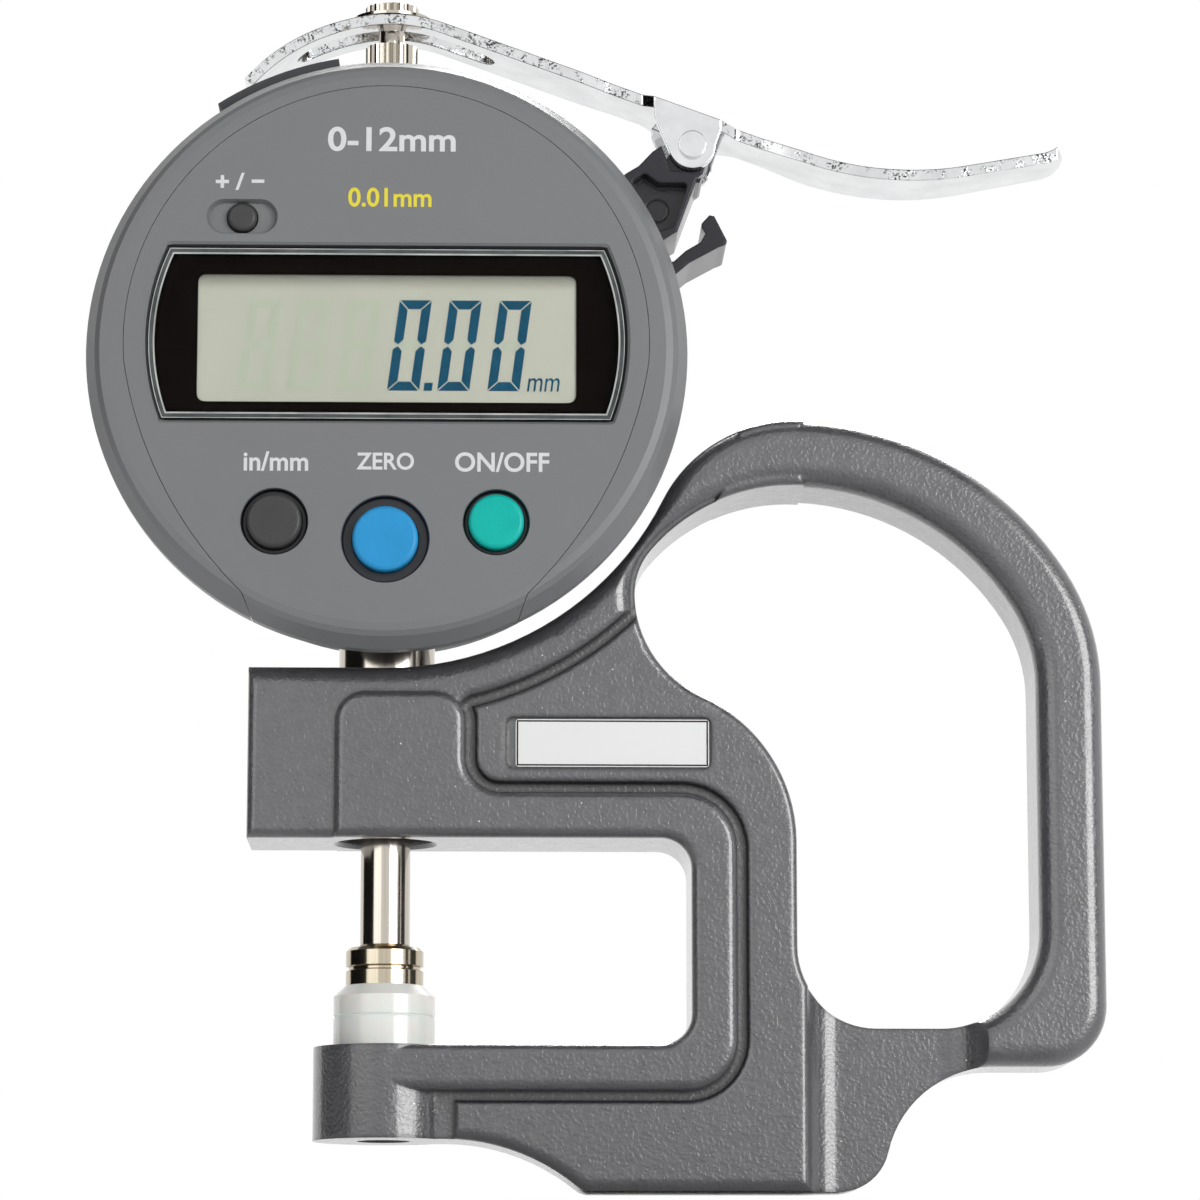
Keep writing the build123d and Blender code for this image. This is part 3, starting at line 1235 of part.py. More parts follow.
with BuildPart() as lever_bracket:
    with BuildSketch(Plane.XZ):
        add(bracket_outline.sketch_local)
    extrude(amount=BRACKET_HALF, both=True)
    # pockets in the front and back faces
    pocket = from_pivot((-6.1, -3.8), (-4.8, -2.9), (-3.4, -3.9), (-0.4, -3.9), (-1.9, -8.4), (-3.4, -8.9))
    for sign in (1, -1):
        with BuildSketch(front(sign * BRACKET_HALF)) as pocket_outline:
            Polygon(*pocket, align=None)
            fillet(pocket_outline.vertices(), POCKET_CORNER)
        extrude(amount=-sign * POCKET_DEPTH, mode=Mode.SUBTRACT)
    # lug between the lever's ears
    with BuildSketch(Plane.XZ):
        Polygon(
            *from_pivot((-3.8, -3.5), (0.8, -3.5), (LUG_RADIUS, 0), (-LUG_RADIUS, 0)),
            align=None,
        )
        with Locations((PIVOT_X, PIVOT_Z)):
            Circle(LUG_RADIUS)
    extrude(amount=LUG_HALF, both=True)
    with Locations(Location((PIVOT_X, -10, PIVOT_Z), (-90, 0, 0))):
        Cylinder(
            PIN_DIAMETER / 2 + FIT,
            20,
            align=(Align.CENTER, Align.CENTER, Align.MIN),
            mode=Mode.SUBTRACT,
        )
    with Locations(Location((screw_place[0], -10, screw_place[1]), (-90, 0, 0))):
        Cylinder(
            SCREW_DIAMETER / 2 + FIT,
            20,
            align=(Align.CENTER, Align.CENTER, Align.MIN),
            mode=Mode.SUBTRACT,
        )
finish(lever_bracket, "lever_bracket")

with BuildPart() as bracket_pin:
    with BuildSketch(front(BRACKET_HALF - POCKET_DEPTH)):
        with Locations(screw_place):
            Circle(SCREW_DIAMETER / 2)
    extrude(amount=-2 * (BRACKET_HALF - POCKET_DEPTH))
finish(bracket_pin, "bracket_pin")

hook_line = from_pivot(
    (-1.9, -12.0),
    (-0.7, -10.9),
    (0.8, -10.0),
    (1.3, -9.1),
    (0.8, -8.2),
    (1.7, -7.2),
    (2.2, -7.3),
    (2.9, -8.7),
    (3.6, -10.1),
    (2.6, -10.5),
    (-0.3, -12.1),
    (-1.7, -13.3),
)
with BuildPart() as bracket_hook:
    with BuildSketch(front(HOOK_HALF)) as hook_outline:
        Polygon(
            on_dial(bracket_seat, HOOK_FIRST),
            *hook_line,
            on_dial(bracket_seat, HOOK_LAST),
            align=None,
        )
        for corner in (hook_line[4], hook_line[8]):
            fillet(hook_outline.vertices().sort_by_distance(corner)[0], HOOK_CORNER)
    extrude(amount=-2 * HOOK_HALF)
finish(bracket_hook, "bracket_hook")
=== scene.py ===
"""Looks of a digital thickness gauge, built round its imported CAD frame.

Run as a script in Blender. Every length is in metres, in the frame of the CAD: X to the right, Z up along
the spindle, the front facing -Y and the origin at the centre of the anvil's measuring face.
"""

import math

import bpy
import numpy as np
from mathutils import Euler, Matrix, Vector


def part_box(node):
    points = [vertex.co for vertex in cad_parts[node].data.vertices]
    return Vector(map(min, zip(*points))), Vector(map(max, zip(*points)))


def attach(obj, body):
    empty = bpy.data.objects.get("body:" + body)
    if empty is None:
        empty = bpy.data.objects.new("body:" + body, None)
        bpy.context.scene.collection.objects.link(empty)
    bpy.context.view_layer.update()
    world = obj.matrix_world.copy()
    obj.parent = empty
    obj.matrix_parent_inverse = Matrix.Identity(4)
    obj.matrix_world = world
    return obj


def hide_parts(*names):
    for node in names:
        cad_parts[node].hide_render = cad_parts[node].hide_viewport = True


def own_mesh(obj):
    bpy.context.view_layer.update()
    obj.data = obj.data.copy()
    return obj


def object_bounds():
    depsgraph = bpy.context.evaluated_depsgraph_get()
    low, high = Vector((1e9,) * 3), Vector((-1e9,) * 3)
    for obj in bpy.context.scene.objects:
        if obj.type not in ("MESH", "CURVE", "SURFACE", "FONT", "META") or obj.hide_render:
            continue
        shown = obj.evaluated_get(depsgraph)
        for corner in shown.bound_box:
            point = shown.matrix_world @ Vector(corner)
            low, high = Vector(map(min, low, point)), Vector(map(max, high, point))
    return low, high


bl_info = {
    "name": "Digital thickness gauge",
    "version": (1, 0, 0),
    "blender": (4, 5, 0),
    "location": "View3D > Sidebar > Gauge",
    "description": "Finishes, print, display and studio of a digital thickness gauge",
    "category": "Object",
}

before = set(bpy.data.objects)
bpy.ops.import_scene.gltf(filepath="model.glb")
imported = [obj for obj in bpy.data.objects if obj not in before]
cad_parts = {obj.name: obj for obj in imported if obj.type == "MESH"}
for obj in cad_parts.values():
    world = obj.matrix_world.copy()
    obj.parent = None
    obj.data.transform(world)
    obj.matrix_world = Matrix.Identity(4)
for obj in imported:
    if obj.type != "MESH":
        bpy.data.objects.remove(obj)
cad_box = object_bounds()

MM = 0.001
FRAME_BODY = "frame"

FACE_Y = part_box("face_panel")[0].y  # front of the dial
GLASS_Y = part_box("lcd_glass")[0].y  # front of the display
# Band in Z of the painted shade inside the dial's openings:
RECESS_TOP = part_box("window_film")[1].z + 0.2 * MM  # above the window, below the sign's slide
RECESS_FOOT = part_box("zero_button")[0].z - 1.6 * MM  # below the buttons
WINDOW_LIFT = 0.6 * MM  # widest point of the window above its middle
WINDOW_TOP_IN = 2.0 * MM  # upper and lower corners of the window in from its widest point
WINDOW_FOOT_IN = 1.4 * MM
OPENING_DEPTH = 0.25 * MM  # behind the dial's face, where the inside of an opening starts
SHADE_FOOT = 70.4 * MM  # painted shadow of the opening's edge: the display darkens upwards from here
SHADE_TOP = 72.6 * MM  # to here
BORDER_INSET = 0.1  # mm from the plate's edge to its painted shadow line
SPRING_WIRE = 0.5 * MM
SPRING_TURNS = 9
HEAD_RADIUS = 1.75 * MM  # heads of the cover's screws
CROSS_SIZE = 2.0  # mm, cross in a screw's head
CROSS_STROKE = 0.5  # mm
LEVER_EDGE_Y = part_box("lever")[0].y + 0.15 * MM  # behind the ears' outer faces
SHEET_EDGE = 0.2 * MM  # rounding of the lever's sheet
FOOT_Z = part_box("frame_casting")[0].z
FLOOR_GAP = 0.15 * MM  # below the foot
FLOOR_REACH = 6.0  # half of the floor's side

CAMERA_PLACE = (0.010, -0.459, -0.03704)
CAMERA_TILT = math.radians(90.0 + 9.741)
CAMERA_TURN = math.radians(-1.4)
CAMERA_LENS = 139.8  # mm, on a sensor 36 mm wide

# Painted reflection and highlight lines round the window: piece, outer and inner inset in mm, layers in front
# of the window
WINDOW_PAINTED_LINES = (
    ("window_bevel_reflection", 0.06, 0.66, 1),
    ("window_highlight", 0.5, 0.66, 2),
    ("window_edge_highlight", 0.06, 0.14, 2),
)

# Display, in mm: lower left corner of the first lit figure, the decimal point's outline and place, the unit
FIGURES_LEFT = 0.02
FIGURES_FOOT = 60.6
POINT_OUTLINE = ((0.0, 0.0), (0.82, 0.0), (0.93, 0.8), (0.11, 0.8))
POINT_LEFT = 3.6
UNIT_MIDDLE = (15.4, 61.25)
UNIT_SIZE = (3.1, 1.35)
SEGMENT_GAP = 0.09 * MM  # half of the gap between two segments

# Print on the dial, in mm: piece, words, middle in X and Z, width and height, colour
LABELS = (
    ("print_unit", "in/mm", (-10.7, 53.15), (6.3, 1.95), "pale_print"),
    ("print_zero", "ZERO", (-0.05, 53.2), (5.6, 1.72), "pale_print"),
    ("print_power", "ON/OFF", (11.35, 53.15), (9.2, 1.95), "pale_print"),
    ("print_range", "0-12mm", (0.35, 85.6), (12.6, 2.5), "pale_print"),
    ("print_step", "0.01mm", (0.2, 79.7), (8.2, 1.95), "yellow_print"),
)
LABEL_WEIGHT = 0.02  # letters grown by this share of the type's size
SIGN_STROKE = 0.34
PLUS_MIDDLE, PLUS_SIZE = (-16.29, 81.2), 1.3
MINUS_MIDDLE, MINUS_SIZE = (-12.79, 81.25), 1.25
SLASH_OUTLINE = ((-15.0, 80.35), (-14.7, 80.35), (-14.1, 82.1), (-14.4, 82.1))


# Property helpers


def linear(red, green, blue):
    """Scene-linear colour of an 8-bit screen colour: the screen's curve undone channel by channel."""
    shares = np.array((red, green, blue)) / 255.0
    low = shares / 12.92
    high = ((shares + 0.055) / 1.055) ** 2.4
    return tuple(float(x) for x in np.where(shares <= 0.04045, low, high))


def colour_property(name, description, *screen):
    """A colour that a user may change, given as an 8-bit screen colour."""
    return bpy.props.FloatVectorProperty(
        name=name,
        description=description,
        subtype="COLOR",
        size=3,
        min=0.0,
        max=1.0,
        default=linear(*screen),
    )


def length_property(name, description, millimetres):
    """A length that a user may change, given in millimetres and kept in metres."""
    return bpy.props.FloatProperty(
        name=name,
        description=description,
        default=millimetres * MM,
        min=0.0,
        precision=5,
        subtype="DISTANCE",
        unit="LENGTH",
    )


def power_property(name, description, watts):
    """A lamp's power that a user may change."""
    return bpy.props.FloatProperty(name=name, description=description, default=watts, unit="POWER")


class GaugeColours(bpy.types.PropertyGroup):
    """Colours of the paint, plastics, metals, print and display, and of the painted shade in the dial's
    openings.
    """

    enamel: colour_property("Casting enamel", "Hammered enamel of the frame", 80, 80, 83)
    face: colour_property("Dial enamel", "Satin enamel of the dial and its rim", 120, 121, 123)
    case: colour_property("Case plastic", "Moulded plastic of the rear case", 66, 67, 70)
    black: colour_property("Black plastic", "Glossy plastic of the lever's bracket", 25, 25, 33)
    rubber: colour_property("Rubber", "Rubber of the port cover and the key mat", 58, 60, 63)
    unit_key: colour_property("Unit button", "Dark button for inches or millimetres", 66, 66, 67)
    zero_key: colour_property("Zero button", "Blue button that sets zero", 44, 152, 212)
    power_key: colour_property("Power button", "Green button that switches the gauge", 0, 186, 174)
    film: colour_property("Window film", "Printed border behind the window", 15, 6, 4)
    display: colour_property("Display", "Unlit ground of the display", 149, 151, 138)
    segment: colour_property("Lit segment", "Dark segments of the display", 8, 56, 76)
    ghost: colour_property("Unlit segment", "Faint trace of a segment that is off", 142, 149, 133)
    print_pale: colour_property("Pale print", "Screen print on the dial", 226, 227, 229)
    print_yellow: colour_property("Yellow print", "Coloured screen print on the dial", 236, 220, 66)
    ceramic: colour_property("Ceramic", "Contact point and anvil", 249, 248, 242)
    nickel: colour_property("Nickel", "Spindle, stem and small turned pieces", 196, 189, 178)
    chrome: colour_property("Chrome", "Plated sheet metal of the lifting lever", 226, 227, 228)
    shank: colour_property("Shank", "Warm plated shank of the contact", 192, 182, 162)
    brass: colour_property("Brass", "Bushes and guide", 196, 160, 92)
    plate: colour_property("Plate", "Bare plate on the frame", 240, 240, 240)
    # Painted shade inside the dial's openings and in the screws' crosses, not a colour of the part:
    recess_shade: colour_property("Recess", "Inside of the dial's openings", 17, 20, 27)
    board: colour_property("Circuit board", "Board behind the display", 26, 84, 52)


class GaugeGrain(bpy.types.PropertyGroup):
    """Sizes of the grain and relief in the finishes."""

    peel: length_property("Hammer pitch", "Width of one dimple of the casting's enamel", 0.35)
    peel_depth: length_property("Hammer depth", "Height of the casting's dimples", 0.024)
    edge: length_property("Paint edge", "Softness of the enamel over the casting's edges", 0.7)
    satin: length_property("Satin pitch", "Grain of the dial's enamel", 0.16)
    satin_depth: length_property("Satin depth", "Height of the dial's grain", 0.004)
    moulded: length_property("Moulded pitch", "Grain of the moulded plastic", 0.3)
    streak: length_property("Streak pitch", "Width of a drawn streak on turned metal", 0.25)
    wave: length_property("Wave pitch", "Waviness of the plated sheet", 6.0)
    wave_depth: length_property("Wave depth", "Height of the plated sheet's waviness", 0.03)
    torn: length_property("Punched grain", "Grain of the plated sheet's punched edge", 0.24)
    torn_depth: length_property("Punched depth", "Height of the punched edge's grain", 0.03)


class GaugePrint(bpy.types.PropertyGroup):
    """Sizes of the print, the painted shadow line on the plate and the display's figures."""

    thickness: length_property("Print thickness", "Ink on the dial", 0.02)
    # Width of the painted shadow line round the plate.
    border: length_property("Border line", "Line round the bare plate", 0.15)
    figure_height: length_property("Figure height", "Figures of the display", 9.1)
    figure_width: length_property("Figure width", "Figures of the display, before they lean", 3.15)
    figure_stroke: length_property("Figure stroke", "Width of a segment", 0.9)
    figure_pitch: length_property("Figure pitch", "From one figure to the next", 4.92)
    figure_lean: bpy.props.FloatProperty(
        name="Figure lean",
        description="Slope of the display's figures",
        default=math.radians(7.6),
        subtype="ANGLE",
        unit="ROTATION",
    )


class GaugeStage(bpy.types.PropertyGroup):
    """Levels of the studio light."""

    key: power_property("Key light", "Power from the right", 4.5)
    fill: power_property("Fill light", "Power from the upper left", 0.8)
    top: power_property("Top light", "Power from above and behind", 4.0)
    sky: bpy.props.FloatProperty(
        name="Surround", description="Level of the plain surround", default=0.2, min=0.0
    )


# Shader helpers


def add_node(tree, kind, inputs=None, **settings):
    """A node of the given kind with its settings and its sockets' plain values."""
    made = tree.nodes.new(kind)
    for name, value in settings.items():
        setattr(made, name, value)
    for socket, value in (inputs or {}).items():
        made.inputs[socket].default_value = value
    return made


def wire(source, output, target, entry):
    """Link one node's output to another's input."""
    target.id_data.links.new(source.outputs[output], target.inputs[entry])


def find_node(tree, kind):
    """The first node of a kind."""
    return next(n for n in tree.nodes if n.type == kind)


def maths(tree, operation, *values):
    """The result of a sum, product or comparison of plain values and of other nodes' outputs."""
    made = add_node(tree, "ShaderNodeMath", operation=operation)
    for entry, value in zip(made.inputs, values):
        if isinstance(value, bpy.types.NodeSocket):
            tree.links.new(value, entry)
        else:
            entry.default_value = value
    return made.outputs[0]


def place_textures(tree, *textures):
    """Object coordinates for textures and other nodes that take a vector."""
    place = add_node(tree, "ShaderNodeTexCoord")
    for texture in textures:
        wire(place, "Object", texture, "Vector")


def object_axes(tree):
    """The object coordinates as three outputs, X, Y and Z."""
    axes = add_node(tree, "ShaderNodeSeparateXYZ")
    place_textures(tree, axes)
    return axes.outputs


def colour_mix(tree, **ends):
    """A mix of the colours A and B, each given here or linked later."""
    return add_node(tree, "ShaderNodeMix", ends, data_type="RGBA")


def smooth_rise(tree, low, high, top=1.0):
    """A smooth rise from zero to the top while its value goes from low to high."""
    ends = {"From Min": low, "From Max": high, "To Max": top}
    return add_node(tree, "ShaderNodeMapRange", ends, interpolation_type="SMOOTHSTEP")


def new_group(name, inputs, outputs):
    """An empty shader node group with named sockets, and its two end nodes."""
    tree = bpy.data.node_groups.new(name, "ShaderNodeTree")
    for socket, (kind, default) in inputs.items():
        made = tree.interface.new_socket(name=socket, in_out="INPUT", socket_type=kind)
        made.default_value = default
    for socket, kind in outputs.items():
        tree.interface.new_socket(name=socket, in_out="OUTPUT", socket_type=kind)
    return tree, tree.nodes.new("NodeGroupInput"), tree.nodes.new("NodeGroupOutput")


def use_group(tree, group, **values):
    """The group placed in a material, with its own values."""
    made = tree.nodes.new("ShaderNodeGroup")
    made.node_tree = group
    for socket, value in values.items():
        made.inputs[socket.replace("_", " ")].default_value = value
    return made


FLOAT = "NodeSocketFloat"
COLOUR = "NodeSocketColor"


def orange_peel_group():
    """Height of sprayed enamel: a broad noise whose hollows are levelled, with a finer one on top."""
    inputs = {"Scale": (FLOAT, 1000.0), "Fine Share": (FLOAT, 0.3)}
    tree, entry, exit_node = new_group("orange_peel", inputs, {"Height": FLOAT})
    broad = add_node(tree, "ShaderNodeTexNoise", {"Detail": 1.0, "Roughness": 0.4})
    cells = add_node(tree, "ShaderNodeTexVoronoi", {"Smoothness": 0.8}, feature="SMOOTH_F1")
    fine = add_node(tree, "ShaderNodeTexNoise", {"Detail": 2.0})
    level = smooth_rise(tree, 0.36, 0.7)
    place_textures(tree, broad, cells, fine)
    wire(entry, "Scale", broad, "Scale")
    wire(entry, "Scale", cells, "Scale")
    tree.links.new(maths(tree, "MULTIPLY", entry.outputs["Scale"], 3.1), fine.inputs["Scale"])
    wire(broad, "Fac", level, "Value")
    both = maths(tree, "MULTIPLY_ADD", cells.outputs["Distance"], 0.45, level.outputs["Result"])
    share = maths(tree, "MULTIPLY", fine.outputs["Fac"], entry.outputs["Fine Share"])
    tree.links.new(maths(tree, "ADD", both, share), exit_node.inputs["Height"])
    return tree


def specks_group():
    """Mask of scattered specks: near the middle of a cell, and only in cells whose random number is low."""
    inputs = {"Scale": (FLOAT, 500.0), "Share": (FLOAT, 0.05), "Size": (FLOAT, 0.2)}
    tree, entry, exit_node = new_group("specks", inputs, {"Mask": FLOAT})
    cells = add_node(tree, "ShaderNodeTexVoronoi", feature="F1")
    split = add_node(tree, "ShaderNodeSeparateColor")
    place_textures(tree, cells)
    wire(entry, "Scale", cells, "Scale")
    wire(cells, "Color", split, "Color")
    chosen = maths(tree, "LESS_THAN", split.outputs["Red"], entry.outputs["Share"])
    near = maths(tree, "LESS_THAN", cells.outputs["Distance"], entry.outputs["Size"])
    tree.links.new(maths(tree, "MULTIPLY", chosen, near), exit_node.inputs["Mask"])
    return tree


def tone_group():
    """Two tones of one colour mixed by a cloudy noise, with a finer mottle."""
    inputs = {
        "Low": (COLOUR, (0.1, 0.1, 0.1, 1.0)),
        "High": (COLOUR, (0.2, 0.2, 0.2, 1.0)),
        "Scale": (FLOAT, 60.0),
        "Detail": (FLOAT, 4.0),
    }
    tree, entry, exit_node = new_group("cloudy_tone", inputs, {"Color": COLOUR, "Value": FLOAT})
    cloud = add_node(tree, "ShaderNodeTexNoise", {"Roughness": 0.6})
    spread = add_node(tree, "ShaderNodeMapRange", {"From Min": 0.3, "From Max": 0.7})
    mix = colour_mix(tree)
    place_textures(tree, cloud)
    wire(entry, "Scale", cloud, "Scale")
    wire(entry, "Detail", cloud, "Detail")
    wire(cloud, "Fac", spread, "Value")
    wire(spread, "Result", mix, "Factor")
    wire(entry, "Low", mix, "A")
    wire(entry, "High", mix, "B")
    wire(mix, "Result", exit_node, "Color")
    wire(spread, "Result", exit_node, "Value")
    return tree


def streak_group():
    """Drawn or turned metal: noise that is narrow across X and Y and long along Z."""
    inputs = {"Across": (FLOAT, 4000.0), "Along": (FLOAT, 60.0)}
    tree, entry, exit_node = new_group("streaks", inputs, {"Value": FLOAT})
    scale = add_node(tree, "ShaderNodeCombineXYZ")
    stretch = add_node(tree, "ShaderNodeMapping")
    noise = add_node(tree, "ShaderNodeTexNoise", {"Scale": 1.0, "Detail": 5.0, "Roughness": 0.65})
    place_textures(tree, stretch)
    for axis, socket in (("X", "Across"), ("Y", "Across"), ("Z", "Along")):
        wire(entry, socket, scale, axis)
    wire(scale, "Vector", stretch, "Scale")
    wire(stretch, "Vector", noise, "Vector")
    wire(noise, "Fac", exit_node, "Value")
    return tree


STREAKS_ALONG = 40.0  # in a metre
STREAK_DEPTH = 0.000004
GROUPS = {}


def shared(name):
    """The named node group, built the first time that it is asked for."""
    if name not in GROUPS:
        makers = {
            "peel": orange_peel_group,
            "specks": specks_group,
            "tone": tone_group,
            "streaks": streak_group,
        }
        GROUPS[name] = makers[name]()
    return GROUPS[name]


def rgba(colour, share=1.0):
    """A colour at a share of its level, with an alpha of one."""
    return (*(min(1.0, c * share) for c in colour), 1.0)


def new_material(name):
    """A material with its tree and its Principled shader."""
    material = bpy.data.materials.new(name)
    material.use_nodes = True
    tree = material.node_tree
    return material, tree, find_node(tree, "BSDF_PRINCIPLED")


def cloudy(tree, colour, low, high, scale, detail):
    """The cloudy tone between two shares of a colour."""
    low, high = rgba(colour, low), rgba(colour, high)
    return use_group(tree, shared("tone"), Low=low, High=high, Scale=scale, Detail=detail)


def set_shader(shader, **values):
    """Plain values on the Principled shader's own sockets."""
    for socket, value in values.items():
        shader.inputs[socket.replace("_", " ")].default_value = value


def vary_roughness(tree, shader, value, low, high):
    """Roughness that runs from low to high with a varying value."""
    spread = add_node(tree, "ShaderNodeMapRange", {"To Min": low, "To Max": high})
    tree.links.new(value, spread.inputs["Value"])
    wire(spread, "Result", shader, "Roughness")


def add_bump(tree, shader, height, distance, rounding=0.0):
    """Relief of the given height in metres on the shader's normal, over edges that are turned softly over."""
    bump = add_node(tree, "ShaderNodeBump", {"Distance": distance})
    tree.links.new(height, bump.inputs["Height"])
    wire(bump, "Normal", shader, "Normal")
    if rounding:
        edge = add_node(tree, "ShaderNodeBevel", {"Radius": rounding}, samples=5)
        wire(edge, "Normal", bump, "Normal")


def grained(
    name, colour, pitch, depth, low=0.3, high=0.45, contrast=0.06, cloud=70.0, rounding=0.0, **values
):
    """Paint or moulded plastic: a cloudy tone, a fine relief and a roughness that varies a little."""
    material, tree, shader = new_material(name)
    set_shader(shader, **values)
    tone = cloudy(tree, colour, 1 - contrast, 1 + contrast, cloud, 5.0)
    wire(tone, "Color", shader, "Base Color")
    vary_roughness(tree, shader, tone.outputs["Value"], low, high)
    peel = use_group(tree, shared("peel"), Scale=1 / pitch, Fine_Share=0.4)
    add_bump(tree, shader, peel.outputs["Height"], depth, rounding)
    return material


def turned_metal(name, colour, pitch, low=0.12, high=0.3):
    """Turned or drawn metal: long streaks in tone, roughness and relief."""
    material, tree, shader = new_material(name)
    set_shader(shader, Metallic=1.0)
    streaks = use_group(tree, shared("streaks"), Across=1 / pitch, Along=STREAKS_ALONG)
    mix = colour_mix(tree, A=rgba(colour, 0.75), B=rgba(colour, 1.25))
    wire(streaks, "Value", mix, "Factor")
    wire(mix, "Result", shader, "Base Color")
    vary_roughness(tree, shader, streaks.outputs["Value"], low, high)
    add_bump(tree, shader, streaks.outputs["Value"], STREAK_DEPTH)
    return material


def open_share(tree, reach):
    """How open a surface lies: the share of the half-sphere round it that its own piece leaves free. It masks
    painted shade in hollows.
    """
    share = add_node(tree, "ShaderNodeAmbientOcclusion", {"Distance": reach}, samples=8, only_local=True)
    spread = smooth_rise(tree, 0.45, 0.92)
    wire(share, "AO", spread, "Value")
    return spread.outputs["Result"]


def hammered_enamel(colours, grain):
    """Casting enamel: dimpled relief, cloudy tone, painted shade in its grooves, with a few pale specks."""
    material, tree, shader = new_material("hammered_enamel")
    set_shader(shader, Specular_IOR_Level=0.85, Coat_Weight=0.9, Coat_Roughness=0.13)
    tone = cloudy(tree, colours.enamel, 0.86, 1.14, 700.0, 6.0)
    # Painted shade: the enamel at a fifth of its tone where the casting's own grooves and hollows close round
    # it.
    shade = colour_mix(tree, A=rgba(colours.enamel, 0.2))
    specks = use_group(tree, shared("specks"), Scale=1300.0, Share=0.02, Size=0.11)
    mix = colour_mix(tree, B=rgba(linear(214, 216, 216)))
    tree.links.new(open_share(tree, 2.0 * MM), shade.inputs["Factor"])
    wire(tone, "Color", shade, "B")
    wire(shade, "Result", mix, "A")
    wire(specks, "Mask", mix, "Factor")
    wire(mix, "Result", shader, "Base Color")
    vary_roughness(tree, shader, tone.outputs["Value"], 0.26, 0.38)
    peel = use_group(tree, shared("peel"), Scale=1 / grain.peel, Fine_Share=0.5)
    add_bump(tree, shader, peel.outputs["Height"], grain.peel_depth, grain.edge)
    return material


def dial_enamel(colours, grain):
    """Dial enamel: the satin of its rim, and painted shade inside the openings for the window and the
    buttons.
    """
    material = grained("dial_enamel", colours.face, grain.satin, grain.satin_depth, 0.38, 0.46, 0.02)
    tree = material.node_tree
    base = find_node(tree, "BSDF_PRINCIPLED").inputs["Base Color"]
    tone = base.links[0].from_socket
    axes = object_axes(tree)
    deep = maths(tree, "GREATER_THAN", axes["Y"], FACE_Y + OPENING_DEPTH)
    middle, reach = (RECESS_TOP + RECESS_FOOT) / 2, (RECESS_TOP - RECESS_FOOT) / 2
    level = maths(tree, "COMPARE", axes["Z"], middle, reach)
    # Painted shade: deeper than the face and within the band of the window and buttons, the enamel turns to
    # the shade colour.
    mix = colour_mix(tree, B=rgba(colours.recess_shade))
    tree.links.new(maths(tree, "MULTIPLY", deep, level), mix.inputs["Factor"])
    tree.links.new(tone, mix.inputs["A"])
    tree.links.new(mix.outputs["Result"], base)
    return material


def plated_sheet(colours, grain):
    """Bright plated sheet: a slow waviness under a mirror, turned softly over at its edges, and the torn
    grain of a punched edge on the sides of the strip, but not on the outer faces of the ears."""
    material, tree, shader = new_material("chrome")
    set_shader(shader, Metallic=1.0)
    tone = cloudy(tree, colours.chrome, 0.86, 1.06, 260.0, 3.0)
    vary_roughness(tree, shader, tone.outputs["Value"], 0.04, 0.12)
    wave = add_node(tree, "ShaderNodeTexNoise", {"Scale": 1 / grain.wave, "Detail": 1.0})
    grains = add_node(tree, "ShaderNodeTexNoise", {"Scale": 1 / grain.torn, "Detail": 3.0})
    patches = add_node(tree, "ShaderNodeTexNoise", {"Scale": 0.2 / grain.torn, "Detail": 1.0})
    place_textures(tree, wave, grains, patches)
    geometry = add_node(tree, "ShaderNodeNewGeometry")
    facing = add_node(tree, "ShaderNodeSeparateXYZ")
    patchy = add_node(tree, "ShaderNodeMapRange", {"From Min": 0.45, "From Max": 0.62})
    pits = add_node(tree, "ShaderNodeMapRange", {"From Min": 0.5, "From Max": 0.58})
    wire(geometry, "True Normal", facing, "Vector")
    wire(patches, "Fac", patchy, "Value")
    wire(grains, "Fac", pits, "Value")
    side = maths(tree, "LESS_THAN", facing.outputs["Y"], -0.7)
    inside = maths(tree, "GREATER_THAN", object_axes(tree)["Y"], LEVER_EDGE_Y)
    punched = maths(tree, "MULTIPLY", side, inside)
    share = maths(tree, "MULTIPLY", patchy.outputs["Result"], punched)
    shade = colour_mix(tree, B=rgba(colours.chrome, 0.1))
    tree.links.new(maths(tree, "MULTIPLY", pits.outputs["Result"], share), shade.inputs["Factor"])
    wire(tone, "Color", shade, "A")
    wire(shade, "Result", shader, "Base Color")
    edge = add_node(tree, "ShaderNodeBevel", {"Radius": SHEET_EDGE}, samples=6)
    bump = add_node(tree, "ShaderNodeBump", {"Distance": grain.wave_depth})
    torn = add_node(tree, "ShaderNodeBump", {"Distance": grain.torn_depth})
    wire(wave, "Fac", bump, "Height")
    wire(edge, "Normal", bump, "Normal")
    wire(grains, "Fac", torn, "Height")
    tree.links.new(share, torn.inputs["Strength"])
    wire(bump, "Normal", torn, "Normal")
    wire(torn, "Normal", shader, "Normal")
    return material


def clear_window():
    """Clear cover: smooth glass that lets the lamps through."""
    material, tree, shader = new_material("clear_window")
    set_shader(shader, Transmission_Weight=1.0, Roughness=0.0, IOR=1.14, Base_Color=(1.0, 1.0, 1.0, 1.0))
    output = find_node(tree, "OUTPUT_MATERIAL")
    path = add_node(tree, "ShaderNodeLightPath")
    clear = add_node(tree, "ShaderNodeBsdfTransparent")
    mix = add_node(tree, "ShaderNodeMixShader")
    wire(path, "Is Shadow Ray", mix, "Fac")
    wire(shader, 0, mix, 1)
    wire(clear, 0, mix, 2)
    wire(mix, 0, output, "Surface")
    return material


